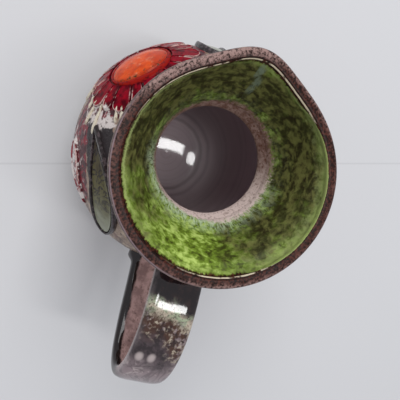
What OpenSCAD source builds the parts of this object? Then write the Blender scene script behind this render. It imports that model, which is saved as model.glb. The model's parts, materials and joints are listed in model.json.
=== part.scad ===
// Glazed stoneware pouring jug: a ball-shaped body with a flared and spouted mouth,
// a strap handle and an applied flower relief on each flank.
// The centre of the foot is the origin, +Z is up, the handle points along +X
// and the flank with the first flower faces -Y. Lengths are millimetres.

/* [Belly] */
// Outer radius of the ball-shaped belly at its widest line
belly_r = 70; // [56:0.5:90]
// Outer radius of the foot where it meets the table
foot_r = 39; // [28:0.5:50]
// Thickness of the thrown wall of the belly
wall_t = 5; // [3:0.25:8]
// Thickness of the floor, from the table to the inside
floor_t = 7; // [5:0.25:12]

/* [Foot ring] */
// Width of the ring that touches the table
foot_ring_w = 7; // [4:0.5:12]
// Depth of the hollow inside the foot ring
foot_recess_h = 2.5; // [1:0.25:4]

/* [Throat] */
// Clear radius of the throat, the narrowest place of the inside
throat_r = 28.8; // [20:0.2:36]
// Thickness of the wall at the throat, where the mouth sits on the shoulder
throat_wall_t = 8.7; // [6:0.1:12]
// How far the collar reaches down over the top of the shoulder
collar_skirt_h = 5; // [3:0.25:9]

/* [Mouth] */
// Height of the flare, from the throat to the middle of the lip
mouth_h = 38.9; // [28:0.1:55]
// Radius of the round part of the lip, to the middle of its thickness
mouth_r = 54.9; // [44:0.1:68]
// How far the round part of the lip stands off the jug's axis, toward the handle
mouth_shift = 3; // [0:0.1:8]
// Thickness of the rounded lip
lip_t = 6; // [4:0.25:9]
// Thickness of the green glaze coat inside the mouth
glaze_t = 0.8; // [0.5:0.1:1.5]

/* [Spout] */
// How far the tip of the spout is pulled out of the round lip
spout_push = 5.3; // [0:0.1:8]
// How far the lip is pressed in on both sides of the spout
spout_pinch = 3.4; // [0:0.1:8]
// Angle by which the spout is turned off the line of the handle
spout_turn = 1; // [-10:1:10]

/* [Handle] */
// Width of the strap
handle_w = 27; // [18:0.5:36]
// Thickness of the strap
handle_t = 8.5; // [6:0.25:12]
// How far the middle of the strap stands out beyond the belly
handle_out = 58; // [40:0.5:75]
// Height of the strap's lower joint above the widest line of the belly
handle_foot_up = 10; // [0:0.5:20]
// Length of the flared slip joint at each end of the strap
lute_length = 7; // [5:0.5:12]
// How much wider and thicker each slip joint is at the wall than the strap
lute_flare = 3; // [1:0.25:5]

/* [Flower relief] */
// Radius of the whole flower, as a share of the belly's radius
flower_r_share = 0.5; // [0.43:0.01:0.6]
// How far the flower's upper petals run up past the edge of the collar, as a share of the belly's radius
flower_tuck_share = 0.09; // [0:0.01:0.2]
// Radius of the orange boss in the middle, as a share of the belly's radius
boss_r_share = 0.25; // [0.18:0.01:0.3]
// Height of the boss at its middle
boss_h = 2.6; // [2:0.1:6]
// Height of the boss at its edge
boss_edge_h = 1.3; // [0.8:0.1:2.8]
// Width of the raised line round the boss
ring_w = 1.2; // [0.8:0.1:3]
// Height of the raised line round the boss
ring_h = 1.8; // [1:0.1:4]
// Number of petals in a flower
petal_n = 18; // [12:2:18]
// Height of the petals
petal_h = 1.3; // [0.8:0.1:3.5]
// Groove between neighbouring pieces of the relief
groove_w = 0.7; // [0.4:0.1:1.5]

/* [Leaf relief] */
// Length of the green leaf, as a share of the belly's radius
leaf_l_share = 0.99; // [0.57:0.01:1.08]
// Width of the green leaf, as a share of the belly's radius
leaf_w_share = 0.3; // [0.18:0.01:0.4]
// How far the green leaf's midrib bows up from the line of its ends, as a share of its length
leaf_bend_share = 0.15; // [0:0.01:0.2]
// Length of the small red leaf below it, as a share of the belly's radius
red_leaf_l_share = 0.57; // [0.34:0.01:0.71]
// Width of the small red leaf, as a share of the belly's radius
red_leaf_w_share = 0.19; // [0.12:0.01:0.25]
// Length of the leaf under the spout, as a share of the belly's radius
spout_leaf_l_share = 0.77; // [0.52:0.01:0.94]
// Width of the leaf under the spout, as a share of the belly's radius
spout_leaf_w_share = 0.5; // [0.24:0.01:0.5]
// Width of the raised outline of a leaf
leaf_rim_w = 2.6; // [1.5:0.1:4]
// Height of the raised outline of a leaf
leaf_rim_h = 2.6; // [1.5:0.1:4]
// Height of the glaze pool inside the outline
leaf_pool_h = 1.3; // [0.8:0.1:2]
// Clear space between the flower and the leaf under the spout
relief_gap = 1; // [0.5:0.25:5]
// Clear space between the flower and the leaves toward the handle
foam_gap = 8.5; // [0.5:0.25:12]

/* [Hidden] */
$fn = 96;

// Heights that follow from the ball and its cuts
belly_z = sqrt(belly_r * belly_r - foot_r * foot_r);
bore_r = belly_r - wall_t;
neck_r = throat_r + throat_wall_t;
throat_z = belly_z + sqrt(belly_r * belly_r - neck_r * neck_r);
collar_z = throat_z - collar_skirt_h;
lip_z = throat_z + mouth_h;
// The belly's wall is thrown in four rings, which meet at the widest line
// and at a share of the radius below and above it
band_share = 0.42;
bowl_top_z = belly_z - belly_r * band_share;
dome_foot_z = belly_z + belly_r * band_share;

// The flare runs in even steps from the throat to the lip
flare_n = 16;
rim_step = 8;
glaze_steps = [2, 15];
// Share of the flare that is a straight cone, the rest opens like a bowl
flare_straight_share = 0.75;
mouth_bore_r = mouth_r - lip_t / 2;
function blend(a, b, s) = a + (b - a) * s;
function flare_shape(u) = flare_straight_share * u + (1 - flare_straight_share) * u * u;
function flare_in(u) = blend(throat_r, mouth_bore_r, flare_shape(u));
function flare_out(u) = flare_in(u) + blend(throat_wall_t, lip_t, u);
function flare_z(u) = throat_z + mouth_h * u;
function ball_at(r, z) = sqrt(max(r * r - (z - belly_z) * (z - belly_z), 0));

// Points of the ball's outline between two heights
arc_n = 8;
function ball_arc(r, z0, z1) = [
    for (k = [0:arc_n]) let (z = blend(z0, z1, k / arc_n)) [ball_at(r, z), z]
];

// The lip's plan: a round mouth off the axis, pressed in beside the spout and pulled out at its tip
lip_n = 72;
tip_spread = 19;
pinch_at = 34;
pinch_spread = 47;
function hump(a, spread) = exp(-(a / spread) * (a / spread));
function from_spout(a) = let (d = (a - 180 - spout_turn) % 360) d > 180 ? d - 360 : d < -180 ? d + 360 : d;
function round_lip(a) = mouth_shift * cos(a)
    + sqrt(mouth_r * mouth_r - mouth_shift * mouth_shift * sin(a) * sin(a));
function lip_plan(a) = let (d = from_spout(a)) round_lip(a) + spout_push * hump(d, tip_spread)
    - spout_pinch * (hump(d - pinch_at, pinch_spread) + hump(d + pinch_at, pinch_spread));
function spout_fade(u) = let (s = max(u * flare_n - rim_step, 0) / (flare_n - rim_step)) s * s;
function mouth_add(a, u) = (lip_plan(a) - mouth_r) * spout_fade(u);
function around(a, r, z) = [r * cos(a), r * sin(a), z];

// A ring of cross-sections, each a closed loop of points, joined into one solid
function ring_faces(n, m) = [
    for (i = [0:n - 1], j = [0:m - 1]) let (i1 = (i + 1) % n, j1 = (j + 1) % m)
        each [[i * m + j, i1 * m + j, i1 * m + j1], [i * m + j, i1 * m + j1, i * m + j1]]
];
// A row of cross-sections joined into one solid with flat ends
function row_faces(n, m) = concat(
    [for (i = [0:n - 2], j = [0:m - 1]) let (j1 = (j + 1) % m)
        each [[i * m + j, i * m + j1, (i + 1) * m + j1], [i * m + j, (i + 1) * m + j1, (i + 1) * m + j]]],
    [[for (j = [m - 1:-1:0]) j], [for (j = [0:m - 1]) (n - 1) * m + j]]
);

// The strap's middle line, from the collar out and down to the belly
root_share = 0.28;
root_z = flare_z(root_share);
root_x = flare_out(root_share);
foot_z = belly_z + handle_foot_up;
foot_x = ball_at(belly_r, foot_z);
loop_x = belly_r + handle_out;
loop_h = root_z - foot_z;
// Guide points: shares of the reach beyond the belly, and of the height between the two joints
loop_shares = [[0, 0.9], [0.78, 1.76], [1.1, 0.62], [1.66, 0.32], [0.4, 0.26]];
loop_guide = concat(
    [[root_x, root_z]],
    [for (s = loop_shares) [belly_r + handle_out * s[0], foot_z + loop_h * s[1]]],
    [[foot_x, foot_z]]
);
function bezier(p, t) = len(p) == 1 ? p[0]
    : bezier([for (i = [0:len(p) - 2]) blend(p[i], p[i + 1], t)], t);
function loop_way(t) = let (d = bezier([for (i = [0:len(loop_guide) - 2])
    loop_guide[i + 1] - loop_guide[i]], t)) d / norm(d);
strap_n = 36;
section_n = 24;
// Share of the middle line that each slip joint covers
loop_run = norm(loop_guide[1] - loop_guide[0]) * (len(loop_guide) - 1);
loop_run_end = norm(loop_guide[6] - loop_guide[5]) * (len(loop_guide) - 1);
root_lute_share = lute_length / loop_run;
foot_lute_share = lute_length / loop_run_end;
// Power that squares off the oval section of the strap
section_square = 0.55;
function bulge(v) = sign(v) * pow(abs(v), section_square);
// One section of the strap: at a point, across a way, made wider and thicker by grow
function section(p, way, grow) = [
    for (k = [0:section_n - 1]) let (a = 360 * k / section_n,
        y = (handle_w / 2 + grow) * bulge(cos(a)), s = (handle_t / 2 + grow) * bulge(sin(a)))
        [p[0] - way[1] * s, y, p[1] + way[0] * s]
];

// Angles of the relief: the leaf under the spout, then the flower, then the leaves toward the handle
function arc_of(length) = asin(min(length / belly_r, 1));
function arc_across(length, lat) = asin(min(length / belly_r / cos(lat), 1));
flower_r = flower_r_share * belly_r;
boss_r = boss_r_share * belly_r;
leaf_size = [leaf_l_share, leaf_w_share] * belly_r;
red_leaf_size = [red_leaf_l_share, red_leaf_w_share] * belly_r;
spout_leaf_size = [spout_leaf_l_share, spout_leaf_w_share] * belly_r;
collar_lat = asin((collar_z - belly_z) / belly_r);
flower_lat = collar_lat + arc_of(flower_tuck_share * belly_r) - arc_of(flower_r);
spout_leaf_lat = 9;
leaf_lat = 33.2;
leaf_tilt = -22;
red_leaf_lat = 10;
red_leaf_at_share = 0.75;
flower_az = -90 + arc_across(spout_leaf_size[1] / 2, spout_leaf_lat) + arc_of(relief_gap)
    + arc_across(flower_r, flower_lat);
flower_edge_az = flower_az + arc_across(flower_r, flower_lat);
leaf_az = flower_edge_az + arc_of(foam_gap) + arc_across(leaf_size[0] / 2, leaf_lat);
red_leaf_az = blend(flower_edge_az, leaf_az, red_leaf_at_share);

// Petals: wide ones and narrow ones by turns, with their bases round the ring
petal_base_r = boss_r + ring_w + groove_w;
wide_share = 0.58;
narrow_reach_share = 0.92;
tip_share = 0.32;
petal_turn = 720 / petal_n;
function petal_middle(i) = floor((i - 1) / 2) * petal_turn
    + (i % 2 == 1 ? 0 : petal_turn / 2);
function petal_half(i) = petal_turn / 2 * (i % 2 == 1 ? wide_share : 1 - wide_share)
    - asin(groove_w / 2 / blend(petal_base_r, flower_r, wide_share));
function polar(r, a) = [r * cos(a), r * sin(a)];
function petal_outline(i) = let (h = petal_half(i),
    r1 = i % 2 == 1 ? flower_r : blend(petal_base_r, flower_r, narrow_reach_share),
    tip = (r1 - petal_base_r) * tip_share) concat(
    [for (s = [-90:15:90]) polar(r1 - tip + tip * cos(s), petal_middle(i) + h * sin(s))],
    [for (k = [0:4]) polar(petal_base_r, petal_middle(i) + h * (1 - k / 2))]
);

// A leaf with its point at -X and its round end at +X, along a midrib that may bow toward +Y
drop_sharpness = 1;
drop_fullness = 1.3;
leaf_bow = 4 * leaf_bend_share / leaf_size[0];
function drop_half(t) = drop_fullness / 2 * sin(t) * pow(sin(t / 2), drop_sharpness);
function drop(size, bow = 0) = [
    for (t = [12:12:360]) let (x = -size[0] / 2 * cos(t)) [x, size[1] * drop_half(t) - bow * x * x]
];
function inner_size(size) = [for (v = size) v - 2 * leaf_rim_w];

sides = ["front", "back"];
function petal_name(side, i) = str(side, "_petal_", i < 10 ? "0" : "", i);

// The turned disc that the jug stands on, with its foot ring
module foot_base() color("#6b5a52") rotate_extrude() polygon(concat(
    [[0, foot_recess_h], [foot_r - foot_ring_w, foot_recess_h], [foot_r - foot_ring_w, 0]],
    ball_arc(belly_r, 0, floor_t),
    [[0, floor_t]]
));

// A ring of the belly's wall between two heights
module belly_wall(z0, z1) rotate_extrude() intersection() {
    translate([0, belly_z]) difference() {
        circle(r = belly_r);
        circle(r = bore_r);
    }
    translate([0, z0]) square([belly_r, z1 - z0]);
}

module lower_bowl() color("#5a4740") belly_wall(floor_t, bowl_top_z);

module belly_lower_ring() color("#6b5856") belly_wall(bowl_top_z, belly_z);

module belly_upper_ring() color("#7d6a6c") belly_wall(belly_z, dome_foot_z);

module shoulder_dome() color("#7d6a6c") belly_wall(dome_foot_z, collar_z);

// The ring that closes the shoulder and carries the root of the handle
bore_top_share = 0.85;
module throat_collar() color("#7a5f5c") rotate_extrude() polygon(concat(
    ball_arc(belly_r, collar_z, throat_z),
    [for (k = [1:rim_step]) [flare_out(k / flare_n), flare_z(k / flare_n)]],
    [for (k = [rim_step:-1:0]) [flare_in(k / flare_n), flare_z(k / flare_n)]],
    [for (p = [arc_n:-1:0]) let (z = blend(collar_z, blend(collar_z, throat_z, bore_top_share), p / arc_n))
        [max(ball_at(bore_r, z), throat_r), z]]
));

// The upper flare with its rounded lip and spout
lip_steps = 8;
module mouth_rim() color("#5d4038") {
    sections = [for (i = [0:lip_n - 1]) let (a = 360 * i / lip_n) concat(
        [for (k = [flare_n:-1:rim_step]) let (u = k / flare_n)
            around(a, flare_in(u) + mouth_add(a, u), flare_z(u))],
        [for (k = [rim_step:flare_n]) let (u = k / flare_n)
            around(a, flare_out(u) + mouth_add(a, u), flare_z(u))],
        [for (s = [1:lip_steps - 1]) let (b = 180 * s / lip_steps)
            around(a, mouth_r + mouth_add(a, 1) + lip_t / 2 * cos(b), lip_z + lip_t / 2 * sin(b))]
    )];
    polyhedron([for (s = sections) each s], ring_faces(lip_n, len(sections[0])));
}

// The green glaze coat, lying on the inside of the collar and the rim
module mouth_glaze() color("#6f8f34") {
    steps = [for (k = [glaze_steps[0]:glaze_steps[1]]) k / flare_n];
    last = len(steps) - 1;
    sections = [for (i = [0:lip_n - 1]) let (a = 360 * i / lip_n) concat(
        [for (u = steps) around(a, flare_in(u) + mouth_add(a, u), flare_z(u))],
        [for (k = [last:-1:0]) let (u = steps[k])
            around(a, flare_in(u) + mouth_add(a, u) - glaze_t, flare_z(u))]
    )];
    polyhedron([for (s = sections) each s], ring_faces(lip_n, len(sections[0])));
}

// The pulled strap, between its two slip joints
module handle_strap() color("#4a3a36") {
    rows = [for (k = [0:strap_n]) let (t = blend(root_lute_share, 1 - foot_lute_share, k / strap_n))
        section(bezier(loop_guide, t), loop_way(t), 0)];
    polyhedron([for (r = rows) each r], row_faces(strap_n + 1, section_n));
}

// A slip joint: the strap's end section spreading toward the wall, run on past the wall to be cut off by it
lute_n = 5;
module lute(t_wall, t_strap) {
    way = loop_way(t_wall);
    inward = t_wall < t_strap ? -way : way;
    rows = concat(
        [section(bezier(loop_guide, t_wall) + inward * lute_length, way, lute_flare)],
        [for (k = [0:lute_n]) let (s = k / lute_n, t = blend(t_wall, t_strap, s))
            section(bezier(loop_guide, t), loop_way(t), lute_flare * (1 - s) * (1 - s))]
    );
    ordered = t_wall < t_strap ? rows : [for (k = [len(rows) - 1:-1:0]) rows[k]];
    polyhedron([for (r = ordered) each r], row_faces(len(ordered), section_n));
}

// The collar and the flare above it without their bore, to cut what stands against them
module collar_core() rotate_extrude() polygon(concat(
    [[0, collar_z]],
    ball_arc(belly_r, collar_z, throat_z),
    [for (k = [1:flare_n]) [flare_out(k / flare_n), flare_z(k / flare_n)]],
    [[0, lip_z]]
));

module belly_core(extra = 0) translate([0, 0, belly_z]) sphere(r = belly_r + extra);

module handle_root_lute() color("#54433e") difference() {
    lute(0, root_lute_share);
    collar_core();
}

module handle_foot_lute() color("#54433e") difference() {
    lute(1, 1 - foot_lute_share);
    belly_core();
}

// Carries a flat outline to a place on the belly: its plane faces outward there, +X runs toward the handle
prism_share = 0.3;
module at_belly(side, az, lat, turn = 0)
    mirror([0, side == "back" ? 1 : 0, 0]) translate([0, 0, belly_z])
    rotate([0, 0, az]) rotate([90 - lat, 0, 0]) rotate([0, 0, turn])
    translate([0, 0, belly_r * prism_share]) children();

// A piece of the relief: an outline pressed onto the belly, of an even height
module pad(side, az, lat, turn, height) difference() {
    intersection() {
        at_belly(side, az, lat, turn) linear_extrude(belly_r) children();
        belly_core(height);
    }
    belly_core();
    collar_core();
}

// The boss: a low dome that stands highest in its middle
boss_drop = belly_r + boss_h - sqrt((belly_r + boss_edge_h) * (belly_r + boss_edge_h) - boss_r * boss_r);
boss_ball_r = (boss_r * boss_r + boss_drop * boss_drop) / (2 * boss_drop);
module flower_centre(side) color("#d9531e") difference() {
    at_belly(side, flower_az, flower_lat) intersection() {
        cylinder(r = boss_r, h = belly_r);
        translate([0, 0, belly_r + boss_h - boss_ball_r - belly_r * prism_share]) sphere(r = boss_ball_r);
    }
    belly_core();
}

module flower_ring(side) color("#b9a58c") pad(side, flower_az, flower_lat, 0, ring_h) difference() {
    circle(r = boss_r + ring_w);
    circle(r = boss_r);
}

module petal(side, i) color("#8e1022") pad(side, flower_az, flower_lat, 0, petal_h)
    polygon(petal_outline(i));

module drop_rim(size, bow = 0) difference() {
    polygon(drop(size, bow));
    polygon(drop(inner_size(size), bow));
}

module leaf_rim(side) color("#3a3033") pad(side, leaf_az, leaf_lat, leaf_tilt, leaf_rim_h)
    drop_rim(leaf_size, leaf_bow);

module leaf_pool(side) color("#6b7358") pad(side, leaf_az, leaf_lat, leaf_tilt, leaf_pool_h)
    polygon(drop(inner_size(leaf_size), leaf_bow));

module red_leaf(side) color("#7c1a26") pad(side, red_leaf_az, red_leaf_lat, 180, petal_h)
    polygon(drop(red_leaf_size));

module spout_leaf_rim() color("#3a3033") pad("front", -90, spout_leaf_lat, 90, leaf_rim_h)
    drop_rim(spout_leaf_size);

module spout_leaf_pool() color("#6b7358") pad("front", -90, spout_leaf_lat, 90, leaf_pool_h)
    polygon(drop(inner_size(spout_leaf_size)));

foot_base();
lower_bowl();
belly_lower_ring();
belly_upper_ring();
shoulder_dome();
throat_collar();
mouth_rim();
mouth_glaze();
handle_strap();
handle_root_lute();
handle_foot_lute();
spout_leaf_rim();
spout_leaf_pool();
for (s = sides) {
    flower_centre(s);
    flower_ring(s);
    leaf_rim(s);
    leaf_pool(s);
    red_leaf(s);
    for (i = [1:petal_n]) petal(s, i);
}
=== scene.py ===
"""Looks of a glazed stoneware pouring jug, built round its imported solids.

The jug stands on its foot at the origin with +Z up, the handle toward +X and
the flank with the first flower toward -Y. Lengths are metres, angles degrees.
"""

import json
import logging
import math
from abc import ABC, abstractmethod
from dataclasses import dataclass, field
from enum import Enum
from typing import Any, Callable, Sequence

import bpy
import numpy as np
from mathutils import Matrix, Vector, noise

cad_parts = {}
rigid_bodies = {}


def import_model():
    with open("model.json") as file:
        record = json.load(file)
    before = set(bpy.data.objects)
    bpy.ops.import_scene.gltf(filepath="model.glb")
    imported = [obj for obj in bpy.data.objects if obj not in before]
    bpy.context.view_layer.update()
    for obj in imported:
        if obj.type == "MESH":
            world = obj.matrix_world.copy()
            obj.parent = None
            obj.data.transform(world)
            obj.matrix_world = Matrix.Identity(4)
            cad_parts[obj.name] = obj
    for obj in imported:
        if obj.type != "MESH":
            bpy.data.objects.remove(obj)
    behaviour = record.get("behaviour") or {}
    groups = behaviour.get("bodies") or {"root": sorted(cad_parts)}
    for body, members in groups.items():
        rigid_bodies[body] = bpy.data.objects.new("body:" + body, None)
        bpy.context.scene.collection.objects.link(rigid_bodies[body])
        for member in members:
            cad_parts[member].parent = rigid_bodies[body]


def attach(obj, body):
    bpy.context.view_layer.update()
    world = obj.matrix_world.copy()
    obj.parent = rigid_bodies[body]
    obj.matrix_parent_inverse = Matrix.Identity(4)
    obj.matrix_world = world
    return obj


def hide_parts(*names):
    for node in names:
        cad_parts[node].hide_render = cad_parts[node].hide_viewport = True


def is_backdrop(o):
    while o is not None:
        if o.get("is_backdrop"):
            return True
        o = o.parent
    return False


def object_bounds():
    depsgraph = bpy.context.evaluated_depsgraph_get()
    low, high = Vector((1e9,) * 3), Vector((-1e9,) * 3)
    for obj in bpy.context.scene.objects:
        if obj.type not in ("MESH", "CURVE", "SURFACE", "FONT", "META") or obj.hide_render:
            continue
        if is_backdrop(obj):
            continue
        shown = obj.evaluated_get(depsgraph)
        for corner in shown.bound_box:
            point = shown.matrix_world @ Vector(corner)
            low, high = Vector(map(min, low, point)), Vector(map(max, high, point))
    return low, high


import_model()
CAD_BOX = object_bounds()
PAD_STEPS = (1.0, 0.985, 0.965, 0.94, 0.91, 0.87, 0.82, 0.75, 0.66, 0.54, 0.38, 0.2)
POLE_R = 0.0002
log = logging.getLogger("jug")

Array = np.ndarray
Marks = dict[str, Array]
Feeds = dict[str | int, Any]
Span = tuple[float, float]
Triple = tuple[float, float, float]
Piece = bpy.types.Object
Material = bpy.types.Material


class Side(Enum):
    """The two flanks of the belly that carry a flower."""

    FRONT = "front"
    BACK = "back"


class Skin(Enum):
    """Which of a shell's finishes a face wears."""

    OUTSIDE = 0
    INSIDE = 1
    BARE = 2


class Pane(Enum):
    """Outline of a lamp's pane."""

    SQUARE = "RECTANGLE"
    ROUND = "ELLIPSE"


def ease(x: Array, low: float, high: float) -> Array:
    """Smooth step from 0 at low to 1 at high; the ends may be given either way round."""
    s = np.clip((x - low) / (high - low), 0.0, 1.0)
    return s * s * (3.0 - 2.0 * s)


def drift(points: Array, scale: float, seed: float) -> Array:
    """Smooth noise at many places.

    Args:
        points: places, three numbers each.
        scale: how many lumps fit in a metre.
        seed: shifts the pattern.

    Returns:
        One number per place, from about -1 to 1.
    """
    shift = Vector((seed, seed * 1.7, -seed))
    values = [noise.noise(Vector(p) * scale + shift) for p in points.reshape(-1, 3)]
    return np.array(values).reshape(points.shape[:-1])


def flat_drift(flat: Array, scale: float, seed: float) -> Array:
    """Smooth noise at flat places."""
    return drift(np.concatenate([flat, np.zeros((*flat.shape[:-1], 1))], axis=-1), scale, seed)


def full_turn(count: int) -> Array:
    """Evenly spread angles of a full turn, in radians."""
    return np.linspace(0.0, 2.0 * math.pi, count, endpoint=False)


def run_length(line: Array) -> Array:
    """Length along an open line up to each of its points."""
    return np.concatenate([[0.0], np.cumsum(np.linalg.norm(np.diff(line, axis=0), axis=1))])


def along_line(at: Array, run: Array, line: Array) -> Array:
    """Points of a line at given lengths along it."""
    return np.column_stack([np.interp(at, run, line[:, k]) for k in range(line.shape[1])])


def resample(outline: Array, count: int) -> Array:
    """Spreads so many points evenly along a closed outline.

    Args:
        outline: its points, flat.
        count: how many points to spread.

    Returns:
        The new points.
    """
    loop = np.vstack([outline, outline[:1]])
    run = run_length(loop)
    return along_line(np.linspace(0.0, run[-1], count, endpoint=False), run, loop)


def edge_distance(places: Array, outline: Array) -> Array:
    """Distance of flat places from a closed outline, in the outline's own unit.

    Args:
        places: flat points.
        outline: points of the closed outline.

    Returns:
        One distance per place.
    """
    along = np.roll(outline, -1, axis=0) - outline
    away = places[:, None, :] - outline[None]
    share = np.clip((away * along).sum(-1) / np.maximum((along * along).sum(-1), 1e-18), 0.0, 1.0)
    return np.sqrt(((away - share[..., None] * along) ** 2).sum(-1)).min(1)


def soften(line: Array, hold: Array, passes: int) -> Array:
    """Rounds the corners of an open line.

    Args:
        line: points, one row each.
        hold: how freely each point may move, from 0 to 1.
        passes: how often the line is evened out.

    Returns:
        The rounded line, with the same ends.
    """
    line = line.copy()
    for _ in range(passes):
        middle = (line[:-2] + line[2:]) / 2.0
        line[1:-1] += 0.5 * hold[1:-1, None] * (middle - line[1:-1])
    return line


def rounded(wave: Array, power: float) -> Array:
    """A sine or cosine that stays longer near its ends, for squared-off rounds."""
    return np.sign(wave) * np.abs(wave) ** power


def link(name: str, data: Any) -> Piece:
    """Puts data into the scene as an object.

    Args:
        name: the object's name.
        data: its mesh, lamp or camera.

    Returns:
        The object.
    """
    made = bpy.data.objects.new(name, data)
    bpy.context.scene.collection.objects.link(made)
    return made


def write_marks(data: bpy.types.Mesh, marks: Marks) -> None:
    """Keeps numbers per point on a mesh."""
    for key, values in marks.items():
        data.attributes.new(key, "FLOAT", "POINT").data.foreach_set("value", values.astype(np.float32))


@dataclass(frozen=True)
class JugForm:
    """Sizes and surfaces of the thrown jug, as its solids have them."""

    belly_r: float = 0.070
    foot_r: float = 0.039
    wall_t: float = 0.005
    floor_t: float = 0.007
    foot_ring_w: float = 0.007
    foot_recess_h: float = 0.0025
    throat_r: float = 0.0288
    throat_wall_t: float = 0.0087
    collar_skirt_h: float = 0.005
    mouth_h: float = 0.0389
    mouth_r: float = 0.0549
    mouth_shift: float = 0.003
    lip_t: float = 0.006
    glaze_t: float = 0.0008
    spout_push: float = 0.0053
    spout_spread: float = 19.0
    spout_pinch: float = 0.0034
    pinch_at: float = 34.0
    pinch_spread: float = 47.0
    spout_turn: float = 1.0
    rim_from: float = 0.5
    coat: Span = (0.125, 0.9375)
    around_n: int = 320

    @property
    def belly_z(self) -> float:
        """Height of the widest line of the belly."""
        return math.sqrt(self.belly_r**2 - self.foot_r**2)

    @property
    def bore_r(self) -> float:
        """Radius of the hollow in the belly."""
        return self.belly_r - self.wall_t

    @property
    def throat_z(self) -> float:
        """Height of the throat."""
        return self.belly_z + math.sqrt(self.belly_r**2 - (self.throat_r + self.throat_wall_t) ** 2)

    @property
    def collar_z(self) -> float:
        """Height of the lower edge of the collar."""
        return self.throat_z - self.collar_skirt_h

    @property
    def lip_z(self) -> float:
        """Height at which the lip begins to round over."""
        return self.throat_z + self.mouth_h

    @property
    def angles(self) -> Array:
        """Angles of the places round the jug's axis, in radians."""
        return full_turn(self.around_n)

    def ball(self, radius: float, z: Array) -> Array:
        """Distance from the axis of a ball about the belly's middle, at given heights."""
        return np.sqrt(np.maximum(radius**2 - (z - self.belly_z) ** 2, 0.0))

    def wall(self, radius: float, z: Array) -> Array:
        """Section of such a ball: distances from the axis and heights."""
        return np.column_stack([self.ball(radius, z), z])

    def flare_in(self, u: Array) -> Array:
        """Inner radius of the flare, u from 0 at the throat to 1 at the lip."""
        return self.throat_r + (self.mouth_r - self.lip_t / 2.0 - self.throat_r) * (0.75 * u + 0.25 * u * u)

    def flare_out(self, u: Array) -> Array:
        """Outer radius of the flare."""
        return self.flare_in(u) + self.throat_wall_t + (self.lip_t - self.throat_wall_t) * u

    def flare_z(self, u: Array) -> Array:
        """Height at a share of the flare."""
        return self.throat_z + self.mouth_h * u

    def mouth_add(self, a: Array, u: Array) -> Array:
        """How far the spout and the off-centre mouth move the flare, at angles in radians.

        Args:
            a: angles round the axis.
            u: shares of the flare.

        Returns:
            What to add to the radius.
        """
        d = np.degrees((a - math.radians(180.0 + self.spout_turn) + math.pi) % (2.0 * math.pi) - math.pi)
        plan = self.mouth_shift * np.cos(a) + np.sqrt(self.mouth_r**2 - (self.mouth_shift * np.sin(a)) ** 2)
        plan = plan + self.spout_push * np.exp(-((d / self.spout_spread) ** 2))
        for pinch in (-self.pinch_at, self.pinch_at):
            plan = plan - self.spout_pinch * np.exp(-(((d - pinch) / self.pinch_spread) ** 2))
        return (plan - self.mouth_r) * (np.maximum(u - self.rim_from, 0.0) / (1.0 - self.rim_from)) ** 2

    def spin(self, radius: Array, z: Array) -> Array:
        """Carries a section, or one section per angle, round the axis.

        Args:
            radius: distances from the axis, one row per angle or one row for all.
            z: heights, in the same layout.

        Returns:
            A grid of points: angles by section points by 3.
        """
        a = self.angles[:, None]
        r = np.broadcast_to(radius, (self.around_n, np.shape(radius)[-1]))
        return np.stack([r * np.cos(a), r * np.sin(a), np.broadcast_to(z, r.shape)], axis=-1)

    def turn(self, section: Array) -> Array:
        """Carries one section of distances and heights round the axis."""
        return self.spin(section[:, 0], section[:, 1])


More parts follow.
